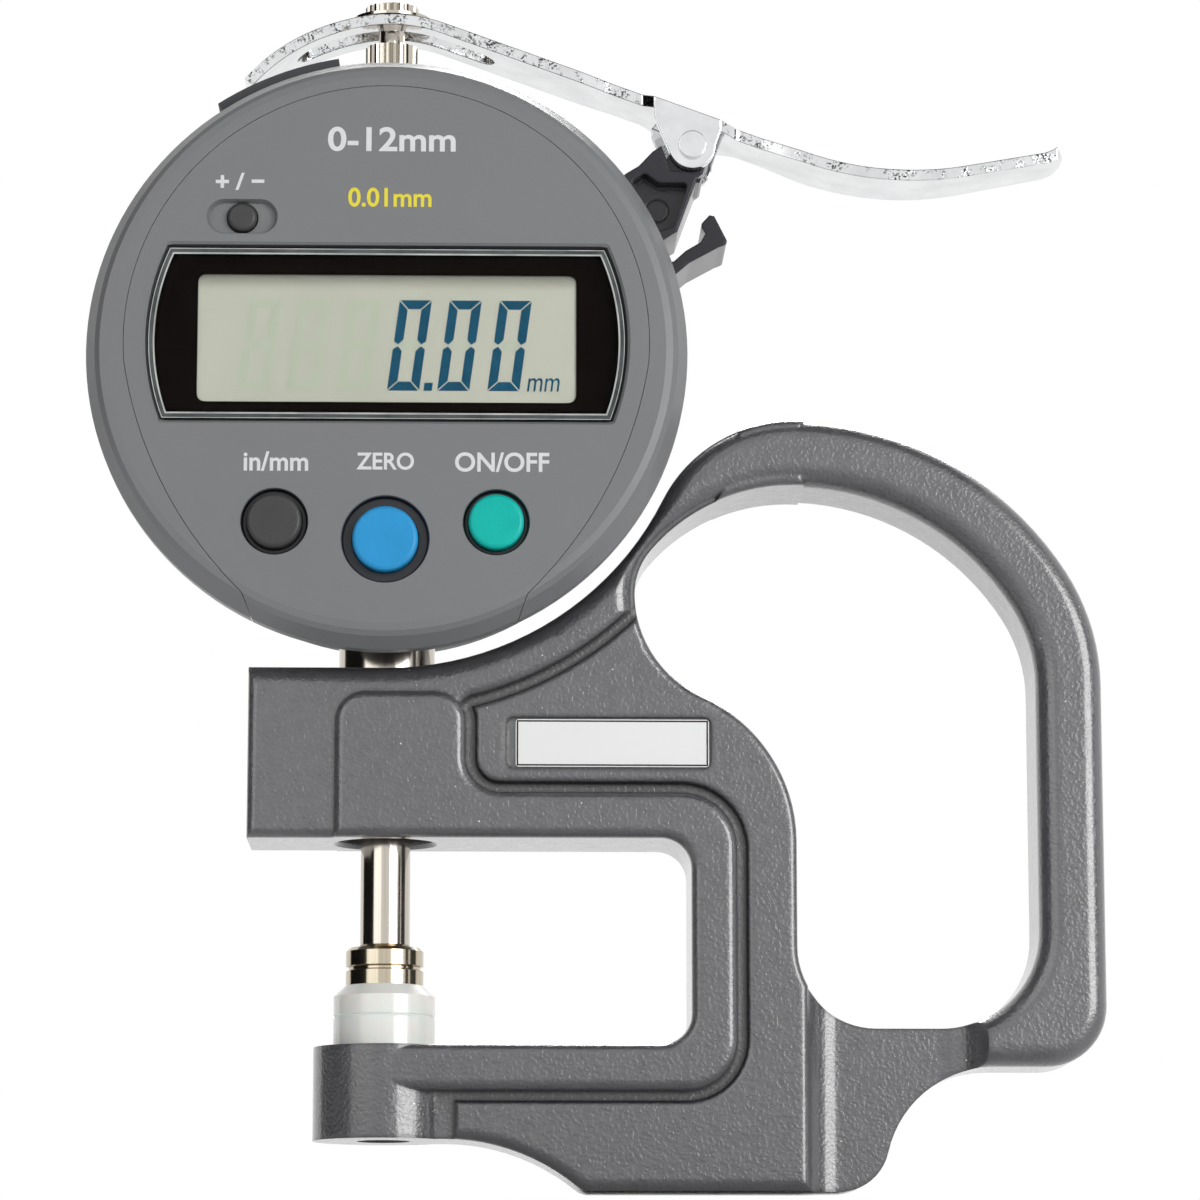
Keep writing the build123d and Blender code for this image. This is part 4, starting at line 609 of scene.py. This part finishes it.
def display_ground(colours):
    """Display: an even pale ground with a soft painted shadow below the upper edge of its opening."""
    material, tree, shader = new_material("display")
    set_shader(shader, Roughness=0.35, Specular_IOR_Level=0.3)
    tone = cloudy(tree, colours.display, 0.96, 1.04, 45.0, 2.0)
    # Painted shadow cast by the upper edge of the opening onto the display.
    edge = smooth_rise(tree, SHADE_FOOT, SHADE_TOP, 0.9)
    mix = colour_mix(tree, B=rgba(colours.display, 0.22))
    tree.links.new(object_axes(tree)["Z"], edge.inputs["Value"])
    wire(edge, "Result", mix, "Factor")
    wire(tone, "Color", mix, "A")
    wire(mix, "Result", shader, "Base Color")
    return material


def ink(name, low, high, scale=900.0, roughness=0.5, gloss=0.3):
    """Flat ink, a display segment and the painted shade and highlight lines: two close tones in a fine
    mottle.
    """
    material, tree, shader = new_material(name)
    set_shader(shader, Roughness=roughness, Specular_IOR_Level=gloss)
    tone = use_group(tree, shared("tone"), Low=rgba(low), High=rgba(high), Scale=scale, Detail=3.0)
    wire(tone, "Color", shader, "Base Color")
    return material


def dress(material, *names):
    """Give CAD nodes a material in place of the one that they came with."""
    for name in names:
        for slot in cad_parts[name].material_slots:
            slot.material = material


# Mesh helpers


def new_mesh(name, points, faces, material):
    """A mesh of plain points and faces in one material."""
    mesh = bpy.data.meshes.new(name)
    mesh.from_pydata(points, [], faces)
    mesh.materials.append(material)
    return mesh


def new_object(name, data):
    """An object of the given data in the scene."""
    made = bpy.data.objects.new(name, data)
    bpy.context.scene.collection.objects.link(made)
    return made


def new_piece(name, mesh):
    """A piece that rides the frame."""
    made = new_object(name, mesh)
    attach(made, FRAME_BODY)
    return made


def flat_shapes(name, outlines, front_y, thickness, material, slot):
    """Thin plates from flat outlines in X and Z: each outline stands at the front plane and again at the back
    plane, a face fills both and a wall of four-cornered faces joins them."""
    points, faces, start = [], [], 0
    for outline in outlines:
        outline = np.asarray(outline, float)
        count = len(outline)
        x, z = outline[:, 0], outline[:, 1]
        turning = np.sum(x * np.roll(z, -1) - np.roll(x, -1) * z)
        if turning < 0:
            outline = outline[::-1]
            x, z = outline[:, 0], outline[:, 1]
        front = np.stack([x, np.full(count, front_y), z], axis=1)
        back = np.stack([x, np.full(count, front_y + thickness), z], axis=1)
        points += [front, back]
        ring = np.arange(count)
        following = (ring + 1) % count
        faces.append((ring + start).tolist())
        faces.append((ring[::-1] + start + count).tolist())
        walls = np.stack([ring, ring + count, following + count, following], axis=1) + start
        faces += walls.tolist()
        start += 2 * count
    new_piece(name, new_mesh(name, np.concatenate(points).tolist(), faces, material))


def ring_line(name, outer, inner, front_y, thickness, material, slot):
    """A thin closed line between two outlines of as many points: both stand at the front and at the back
    plane, and strips of four-cornered faces close the front, the back and both edges."""
    count = len(outer)
    loops = [(outer, front_y), (inner, front_y), (inner, front_y + thickness), (outer, front_y + thickness)]
    points = [np.stack([loop[:, 0], np.full(count, y), loop[:, 1]], axis=1) for loop, y in loops]
    ring = np.arange(count)
    following = (ring + 1) % count
    faces = []
    for start, end in ((0, 1), (1, 2), (2, 3), (3, 0)):
        a, b = start * count, end * count
        faces += np.stack([ring + a, following + a, following + b, ring + b], axis=1).tolist()
    new_piece(name, new_mesh(name, np.concatenate(points).tolist(), faces, material))


def coil_spring(name, node, wire, turns, material, steps=24, sides=8):
    """A wire spring in the place of a CAD node: a tube whose middle climbs evenly round the Z axis. A point
    is the middle moved outwards and upwards by the cosine and the sine of the angle round the wire."""
    low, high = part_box(node)
    half = wire / 2
    turn = np.linspace(0.0, turns * 2 * math.pi, turns * steps + 1)[:, None]
    around = np.arange(sides)[None, :] * (2 * math.pi / sides)
    reach = high.x - half + half * np.cos(around)
    rise = low.z + half + (high.z - low.z - wire) * turn / turn[-1] + half * np.sin(around)
    points = np.stack([reach * np.cos(turn), reach * np.sin(turn), rise], axis=-1).reshape(-1, 3)
    ring = np.arange(sides)
    following = (ring + 1) % sides
    starts = np.arange(turns * steps)[:, None] * sides
    corners = [starts + ring, starts + sides + ring, starts + sides + following, starts + following]
    faces = np.stack(corners, axis=-1).reshape(-1, 4).tolist()
    faces += [ring.tolist(), (ring[::-1] + turns * steps * sides).tolist()]
    made = new_piece(name, new_mesh(name, points.tolist(), faces, material))
    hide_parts(node)
    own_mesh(made)


def window_outline(inset, steps=24):
    """The window's outline moved inwards: straight above and below, and at each end the arc through its
    corners and its widest point, with its radius less the inset. The arc's middle and radius solve the
    circle's equation at those three points. It runs anticlockwise as seen from the front."""
    low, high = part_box("lcd_window")
    end = high.x
    widest = (low.z + high.z) / 2 + WINDOW_LIFT
    corners = np.array([(end - WINDOW_FOOT_IN, low.z), (end, widest), (end - WINDOW_TOP_IN, high.z)])
    system = np.column_stack([2 * corners, np.ones(3)])
    centre_x, centre_z, rest = np.linalg.solve(system, np.sum(corners**2, axis=1))
    radius = math.sqrt(rest + centre_x**2 + centre_z**2) - inset
    foot, head = low.z + inset, high.z - inset
    first, last = math.asin((foot - centre_z) / radius), math.asin((head - centre_z) / radius)
    turn = np.linspace(first, last, steps)
    right = np.stack([centre_x + radius * np.cos(turn), centre_z + radius * np.sin(turn)], axis=1)
    return np.concatenate([right, right[::-1] * (-1, 1)])


def lettering(name, words, middle, size, front_y, thickness, material, slot, lean=0.0, weight=0.0):
    """Letters as thin plates, from millimetres: filled outlines scaled to a width and a height, leant by a
    shear and moved to their middle."""
    width, height = (length * MM for length in size)
    curve = bpy.data.curves.new(name, "FONT")
    curve.body = words
    curve.resolution_u = 6
    curve.extrude = 0.05
    curve.offset = weight
    source = new_object(name + "_outline", curve)
    bpy.context.view_layer.update()
    depsgraph = bpy.context.evaluated_depsgraph_get()
    mesh = bpy.data.meshes.new_from_object(source.evaluated_get(depsgraph))
    bpy.data.objects.remove(source)
    mesh.name = name
    flat = np.zeros(len(mesh.vertices) * 3, np.float32)
    mesh.vertices.foreach_get("co", flat)
    flat = flat.reshape(-1, 3)
    low, high = flat.min(0), flat.max(0)
    scale = height / (high[1] - low[1])
    across = width / (high[0] - low[0])
    centred = flat - (low + high) / 2
    rise = centred[:, 1] * scale
    placed = np.empty_like(flat)
    placed[:, 0] = middle[0] * MM + centred[:, 0] * across + rise * math.tan(lean)
    placed[:, 1] = front_y + thickness / 2 - np.sign(centred[:, 2]) * thickness / 2
    placed[:, 2] = middle[1] * MM + rise
    mesh.vertices.foreach_set("co", placed.ravel())
    mesh.update()
    mesh.materials.clear()
    mesh.materials.append(material)
    new_piece(name, mesh)


def figure_segments(corner, width, height, stroke, lean, chosen):
    """The chosen segments of a seven-segment figure: mitred bars with a narrow gap, sheared by the lean."""
    gap, half, rise = SEGMENT_GAP, height / 2, stroke / 2
    near, far = stroke + gap, width - stroke - gap
    tip = stroke * 0.6 + gap
    foot = np.array([(gap, 0), (width - gap, 0), (far, stroke), (near, stroke)])
    left = [
        (0, height - gap),
        (stroke, height - stroke - gap),
        (stroke, half + stroke * 0.55 + gap),
        (stroke * 0.5, half + gap),
        (0, half + stroke * 0.35 + gap),
    ]
    right = np.array(left) * (-1, 1) + (width, 0)
    level = [(tip, half), (near, half + rise), (far, half + rise)]
    level += [(width - tip, half), (far, half - rise), (near, half - rise)]
    downwards, above = (1, -1), (0, height)
    segments = {
        "top": foot * downwards + above,
        "bottom": foot,
        "middle": np.array(level),
        "upper_left": np.array(left),
        "upper_right": right,
        "lower_left": left * np.array(downwards) + above,
        "lower_right": right * downwards + above,
    }
    shapes = []
    for name in chosen:
        x, z = segments[name].T
        shapes.append(np.stack([x + z * math.tan(lean) + corner[0], z + corner[1]], axis=1))
    return shapes


def bar(x, z, width, height):
    """Outline of an upright rectangle about its middle, from millimetres."""
    corners = np.array([(-0.5, -0.5), (0.5, -0.5), (0.5, 0.5), (-0.5, 0.5)])
    return (corners * (width, height) + (x, z)) * MM


def plus(x, z, size, stroke):
    """Outline of a plus sign about its middle, from millimetres: the three corners of one arm, turned by
    quarters."""
    reach, half = size / 2, stroke / 2
    arm = np.array([(reach, -half), (reach, half), (half, half)])
    arms = [arm @ np.array([(c, s), (-s, c)]) for c, s in ((1, 0), (0, 1), (-1, 0), (0, -1))]
    return (np.concatenate(arms) + (x, z)) * MM


RING = ("top", "bottom", "upper_left", "upper_right", "lower_left", "lower_right")


# Operators: one for each group of pieces


class GAUGE_OT_casting(bpy.types.Operator):
    """Finish the frame casting and its plate, and build the painted shadow line on the plate"""

    bl_idname = "gauge.casting"
    bl_label = "Frame casting"

    def execute(self, context):
        colours, grain = context.scene.gauge_colours, context.scene.gauge_grain
        dress(hammered_enamel(colours, grain), "frame_casting")
        dress(grained("white_plate", colours.plate, 0.5 * MM, 0.001 * MM, 0.35, 0.45, 0.01), "label_plate")
        line = ink("plate_edge_shadow", colours.film, [c * 1.2 for c in colours.film])
        self.border(context.scene.gauge_print, line)
        return {"FINISHED"}

    @staticmethod
    def border(size, material):
        """A thin dark line of painted shadow just inside the plate's edge."""
        low, high = (np.array(corner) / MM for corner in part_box("label_plate"))
        x, _, z = (low + high) / 2
        width, _, height = high - low - 2 * BORDER_INSET
        line = 2 * size.border / MM
        outlines = bar(x, z, width, height), bar(x, z, width - line, height - line)
        front_y = low[1] * MM - size.thickness
        ring_line("plate_shadow_line", *outlines, front_y, size.thickness, material, "white_plate")


class GAUGE_OT_housing(bpy.types.Operator):
    """Finish the dial, its rim and the rear case"""

    bl_idname = "gauge.housing"
    bl_label = "Indicator housing"

    def execute(self, context):
        colours, grain = context.scene.gauge_colours, context.scene.gauge_grain
        dress(dial_enamel(colours, grain), "face_panel")
        rim = grained("face_enamel", colours.face, grain.satin, grain.satin_depth, 0.34, 0.42, 0.02)
        dress(rim, "bezel_ring")
        case = grained("case_plastic", colours.case, grain.moulded, 0.012 * MM, 0.4, 0.5)
        dress(case, "rear_case", "rear_cover", "battery_cover", "battery_tray")
        rubber = grained("rubber", colours.rubber, grain.moulded, 0.01 * MM, 0.55, 0.7, 0.1)
        dress(rubber, "contact_strips", "keypad_mat", "connector_cover")
        return {"FINISHED"}


class GAUGE_OT_window(bpy.types.Operator):
    """Finish the window, its film and the display, and build the painted reflection and highlight lines round
    the window
    """

    bl_idname = "gauge.window"
    bl_label = "Window and display"

    def execute(self, context):
        colours = context.scene.gauge_colours
        dress(clear_window(), "lcd_window")
        relief = 0.4 * MM, 0.001 * MM
        film = grained("dark_film", colours.film, *relief, 0.12, 0.2, 0.15, Specular_IOR_Level=0.6)
        dress(film, "window_film")
        dress(display_ground(colours), "lcd_glass")
        # Painted light on the window's bevelled edge: a grey band of reflection and thin pale highlights.
        bevel = ink("window_bevel_reflection", linear(52, 55, 56), linear(92, 96, 96), 300.0, 0.2)
        glint = ink("window_highlight", linear(150, 154, 152), linear(206, 210, 206), 260.0, 0.2)
        thickness = context.scene.gauge_print.thickness
        front_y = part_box("lcd_window")[0].y
        for name, outer, inner, layers in WINDOW_PAINTED_LINES:
            outlines = window_outline(outer * MM), window_outline(inner * MM)
            material = bevel if name == "window_bevel_reflection" else glint
            ring_line(name, *outlines, front_y - layers * thickness, thickness, material, "clear_window")
        return {"FINISHED"}


class GAUGE_OT_figures(bpy.types.Operator):
    """Build the lit figures, the unit and the faint unlit segments of the display"""

    bl_idname = "gauge.figures"
    bl_label = "Display figures"

    def execute(self, context):
        colours, size = context.scene.gauge_colours, context.scene.gauge_print
        shape = (size.figure_width, size.figure_height, size.figure_stroke, size.figure_lean)
        lit = ink("lit_segment", colours.segment, [c * 1.25 for c in colours.segment], 500.0, 0.4, 0.05)
        faint = ink("unlit_segment", colours.ghost, [c * 1.05 for c in colours.ghost], 300.0, 0.4)
        front_y = GLASS_Y - 2 * size.thickness
        left, bottom = FIGURES_LEFT * MM, FIGURES_FOOT * MM
        corners = [(left + place * size.figure_pitch, bottom) for place in range(-3, 3)]
        shapes, ghosts = [], []
        for corner in corners[3:]:
            shapes += figure_segments(corner, *shape, RING)
            ghosts += figure_segments(corner, *shape, ("middle",))
        for corner in corners[:3]:
            ghosts += figure_segments(corner, *shape, (*RING, "middle"))
        shapes.append(np.array(POINT_OUTLINE) * MM + (POINT_LEFT * MM, bottom))
        layer = front_y, size.thickness
        flat_shapes("display_figures", shapes, *layer, lit, "display")
        flat_shapes("display_unlit", ghosts, *layer, faint, "display")
        lettering("display_unit", "mm", UNIT_MIDDLE, UNIT_SIZE, *layer, lit, "display", lean=size.figure_lean)
        return {"FINISHED"}


class GAUGE_OT_print(bpy.types.Operator):
    """Build the print on the dial"""

    bl_idname = "gauge.print"
    bl_label = "Dial print"

    def execute(self, context):
        colours, size = context.scene.gauge_colours, context.scene.gauge_print
        inks = {
            name: ink(name, colour, [c * 0.96 for c in colour])
            for name, colour in (("pale_print", colours.print_pale), ("yellow_print", colours.print_yellow))
        }
        layer = FACE_Y - size.thickness, size.thickness
        for name, words, middle, extent, colour in LABELS:
            lettering(name, words, middle, extent, *layer, inks[colour], "face_enamel", weight=LABEL_WEIGHT)
        signs = [
            plus(*PLUS_MIDDLE, PLUS_SIZE, SIGN_STROKE),
            bar(*MINUS_MIDDLE, MINUS_SIZE, SIGN_STROKE),
            np.array(SLASH_OUTLINE) * MM,
        ]
        flat_shapes("print_sign", signs, *layer, inks["pale_print"], "face_enamel")
        return {"FINISHED"}


class GAUGE_OT_buttons(bpy.types.Operator):
    """Finish the four push buttons"""

    bl_idname = "gauge.buttons"
    bl_label = "Push buttons"

    def execute(self, context):
        colours, grain = context.scene.gauge_colours, context.scene.gauge_grain
        for name, colour, nodes in (
            ("unit_key", colours.unit_key, ("unit_button", "sign_button")),
            ("zero_key", colours.zero_key, ("zero_button",)),
            ("power_key", colours.power_key, ("power_button",)),
        ):
            relief = grain.moulded, 0.006 * MM
            key = grained(name, colour, *relief, 0.3, 0.42, 0.05, 400.0, Specular_IOR_Level=0.3)
            dress(key, *nodes)
        return {"FINISHED"}


class GAUGE_OT_metalwork(bpy.types.Operator):
    """Finish the turned metal and the ceramics, and build the spring and the screws' crosses"""

    bl_idname = "gauge.metalwork"
    bl_label = "Spindle and metalwork"

    def execute(self, context):
        colours, grain = context.scene.gauge_colours, context.scene.gauge_grain
        nickel = turned_metal("nickel", colours.nickel, grain.streak, low=0.07, high=0.2)
        dress(nickel, "spindle", "stem", "lower_nut", "lift_washer", "lift_knob", "stem_clamp_screw")
        dress(nickel, "rear_cover_screws", "battery", "battery_contact", "guide_pin")
        coil_spring("return_spring_coils", "return_spring", SPRING_WIRE, SPRING_TURNS, nickel)
        shank = turned_metal("golden_nickel", colours.shank, grain.streak, low=0.07, high=0.2)
        dress(shank, "contact_shank")
        brass = turned_metal("brass", colours.brass, grain.streak)
        dress(brass, "lower_bush", "upper_bush", "scale_carrier", "guide_rail")
        low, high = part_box("rear_cover_screws")
        columns = low.x + HEAD_RADIUS, high.x - HEAD_RADIUS
        rows = low.z + HEAD_RADIUS, high.z - HEAD_RADIUS
        crosses = [plus(x / MM, z / MM, CROSS_SIZE, CROSS_STROKE) for x in columns for z in rows]
        shadow = ink("cross_shadow", colours.recess_shade, [c * 1.6 for c in colours.recess_shade])
        flat_shapes("screw_crosses", crosses, high.y, context.scene.gauge_print.thickness, shadow, "nickel")
        glow = {"Subsurface_Weight": 0.25, "Subsurface_Scale": 1.5 * MM, "Coat_Weight": 0.3}
        ceramic = grained("ceramic", colours.ceramic, 0.4 * MM, 0.001 * MM, 0.12, 0.2, 0.015, **glow)
        dress(ceramic, "contact_tip", "anvil")
        return {"FINISHED"}


class GAUGE_OT_lever(bpy.types.Operator):
    """Finish the lifting lever, its pin, its bracket and the hook"""

    bl_idname = "gauge.lever"
    bl_label = "Lifting lever"

    def execute(self, context):
        colours, grain = context.scene.gauge_colours, context.scene.gauge_grain
        dress(plated_sheet(colours, grain), "lever", "pivot_pin")
        gloss = {"rounding": 0.4 * MM, "Specular_IOR_Level": 0.4, "Coat_Weight": 0.2}
        black = grained("black_plastic", colours.black, grain.moulded, 0.008 * MM, 0.16, 0.28, 0.15, **gloss)
        dress(black, "lever_bracket", "bracket_hook", "bracket_pin", "connector_socket", "sign_switch")
        return {"FINISHED"}


class GAUGE_OT_works(bpy.types.Operator):
    """Finish the boards and the scale inside the case"""

    bl_idname = "gauge.works"
    bl_label = "Works inside"

    def execute(self, context):
        colours, grain = context.scene.gauge_colours, context.scene.gauge_grain
        board = grained("board", colours.board, grain.moulded, 0.004 * MM, 0.25, 0.4, 0.15)
        dress(board, "circuit_board", "detector_board")
        glass = grained("scale_glass", linear(206, 214, 214), 1 * MM, 0.001 * MM, 0.05, 0.1, 0.03)
        dress(glass, "scale_strip")
        return {"FINISHED"}


class GAUGE_OT_stage(bpy.types.Operator):
    """Build the floor, the surround, the lamps and the camera"""

    bl_idname = "gauge.stage"
    bl_label = "Studio"

    def execute(self, context):
        stage = context.scene.gauge_stage
        self.floor()
        self.surround(stage.sky)
        self.lamp("key_light", (0.5, -0.62, 0.12), 0.45, stage.key)
        self.lamp("fill_light", (-0.42, -0.6, 0.3), 0.5, stage.fill)
        self.lamp("top_light", (0.1, 0.5, 0.55), 0.35, stage.top)
        self.card("left_card", (-0.5, -0.36, -0.5), (0.0, 0.66, 0.0), (0.0, 0.0, 1.2))
        self.card("right_card", (0.62, -0.3, -0.5), (0.0, 0.14, 0.0), (0.0, 0.0, 1.2))
        self.card("upper_card", (-0.35, -0.4, 0.6), (0.8, 0.0, 0.0), (0.0, 0.5, 0.0))
        self.camera()
        context.scene.view_settings.view_transform = "Standard"
        return {"FINISHED"}

    @staticmethod
    def floor():
        """A square floor under the foot, pale near the object and white further off, clear from below."""
        material, tree, shader = new_material("pale_floor")
        set_shader(shader, Roughness=0.6, Specular_IOR_Level=0.2, Base_Color=(0.9, 0.9, 0.9, 1.0))
        output = find_node(tree, "OUTPUT_MATERIAL")
        geometry = add_node(tree, "ShaderNodeNewGeometry")
        distance = add_node(tree, "ShaderNodeVectorMath", operation="LENGTH")
        far = smooth_rise(tree, 0.12, 0.5)
        path = add_node(tree, "ShaderNodeLightPath")
        mirrored = maths(tree, "MAXIMUM", path.outputs["Is Camera Ray"], path.outputs["Is Glossy Ray"])
        seen = maths(tree, "MULTIPLY", far.outputs["Result"], mirrored)
        white = add_node(tree, "ShaderNodeEmission", {"Color": (1.0, 1.0, 1.0, 1.0), "Strength": 1.0})
        clear = add_node(tree, "ShaderNodeBsdfTransparent")
        fade = add_node(tree, "ShaderNodeMixShader")
        below = add_node(tree, "ShaderNodeMixShader")
        wire(geometry, "Position", distance, 0)
        wire(distance, "Value", far, "Value")
        tree.links.new(seen, fade.inputs["Fac"])
        wire(shader, 0, fade, 1)
        wire(white, 0, fade, 2)
        wire(geometry, "Backfacing", below, "Fac")
        wire(fade, 0, below, 1)
        wire(clear, 0, below, 2)
        wire(below, 0, output, "Surface")
        corners = np.array([(-1, -1), (1, -1), (1, 1), (-1, 1)]) * FLOOR_REACH
        points = [(x, y, FOOT_Z - FLOOR_GAP) for x, y in corners.tolist()]
        new_object("floor", new_mesh("floor", points, [(0, 1, 2, 3)], material))

    @staticmethod
    def surround(strength):
        """A plain white surround: full white if seen, mirrored or looked through, and dimmer as light."""
        world = bpy.data.worlds.new("surround")
        bpy.context.scene.world = world
        world.use_nodes = True
        tree = world.node_tree
        tree.nodes.clear()
        path = add_node(tree, "ShaderNodeLightPath")
        seen = maths(tree, "MAXIMUM", path.outputs["Is Camera Ray"], path.outputs["Is Glossy Ray"])
        clear = maths(tree, "MAXIMUM", seen, path.outputs["Is Transmission Ray"])
        light = add_node(tree, "ShaderNodeBackground", {"Color": (1.0, 1.0, 1.0, 1.0), "Strength": strength})
        white = add_node(tree, "ShaderNodeBackground", {"Color": (1.0, 1.0, 1.0, 1.0), "Strength": 1.0})
        mix = add_node(tree, "ShaderNodeMixShader")
        output = add_node(tree, "ShaderNodeOutputWorld")
        tree.links.new(clear, mix.inputs["Fac"])
        wire(light, 0, mix, 1)
        wire(white, 0, mix, 2)
        wire(mix, 0, output, "Surface")

    @staticmethod
    def lamp(name, place, size, power):
        """A square soft lamp that faces the middle of the object."""
        data = bpy.data.lights.new(name, "AREA")
        data.energy = power
        data.size = size
        made = new_object(name, data)
        middle = (cad_box[0] + cad_box[1]) / 2
        made.location = place
        made.rotation_euler = (middle - Vector(place)).to_track_quat("-Z", "Y").to_euler()

    @staticmethod
    def card(name, corner, across, along):
        """A dark card that only mirrors see, so that bright metal and gloss have dark streaks: one corner and
        its two sides."""
        corner, across, along = Vector(corner), Vector(across), Vector(along)
        corners = [corner, corner + across, corner + across + along, corner + along]
        material, _, shader = new_material(name)
        set_shader(shader, Base_Color=(0.01, 0.01, 0.01, 1.0), Roughness=1.0, Specular_IOR_Level=0.0)
        points = [tuple(c) for c in corners]
        made = new_object(name, new_mesh(name, points, [(0, 1, 2, 3)], material))
        made.visible_camera = False
        made.visible_diffuse = False
        made.visible_shadow = False
        made.visible_transmission = False

    @staticmethod
    def camera():
        """The photograph's view: low in front of the anvil and tilted up."""
        data = bpy.data.cameras.new("camera")
        data.lens = CAMERA_LENS
        data.sensor_width = 36.0
        data.clip_start = 0.01
        made = new_object("camera", data)
        made.location = CAMERA_PLACE
        made.rotation_euler = Euler((CAMERA_TILT, 0.0, CAMERA_TURN))
        bpy.context.scene.camera = made


OPERATORS = (
    GAUGE_OT_casting,
    GAUGE_OT_housing,
    GAUGE_OT_window,
    GAUGE_OT_figures,
    GAUGE_OT_print,
    GAUGE_OT_buttons,
    GAUGE_OT_metalwork,
    GAUGE_OT_lever,
    GAUGE_OT_works,
    GAUGE_OT_stage,
)


class GAUGE_PT_sidebar(bpy.types.Panel):
    """Pieces and sizes of the thickness gauge"""

    bl_label = "Thickness gauge"
    bl_idname = "GAUGE_PT_sidebar"
    bl_space_type = "VIEW_3D"
    bl_region_type = "UI"
    bl_category = "Gauge"

    def draw(self, context):
        for made in OPERATORS:
            self.layout.operator(made.bl_idname)
        for group in SETTINGS:
            settings = getattr(context.scene, group)
            box = self.layout.box()
            for name in settings.__annotations__:
                box.prop(settings, name)


SETTINGS = {
    "gauge_colours": GaugeColours,
    "gauge_grain": GaugeGrain,
    "gauge_print": GaugePrint,
    "gauge_stage": GaugeStage,
}


def register():
    for made in (*SETTINGS.values(), *OPERATORS, GAUGE_PT_sidebar):
        bpy.utils.register_class(made)
    for name, made in SETTINGS.items():
        setattr(bpy.types.Scene, name, bpy.props.PointerProperty(type=made))


def unregister():
    for name in SETTINGS:
        delattr(bpy.types.Scene, name)
    for made in reversed((*SETTINGS.values(), *OPERATORS, GAUGE_PT_sidebar)):
        bpy.utils.unregister_class(made)


def main():
    """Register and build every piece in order."""
    register()
    for made in OPERATORS:
        group, name = made.bl_idname.split(".")
        getattr(getattr(bpy.ops, group), name)()


if __name__ == "__main__":
    main()
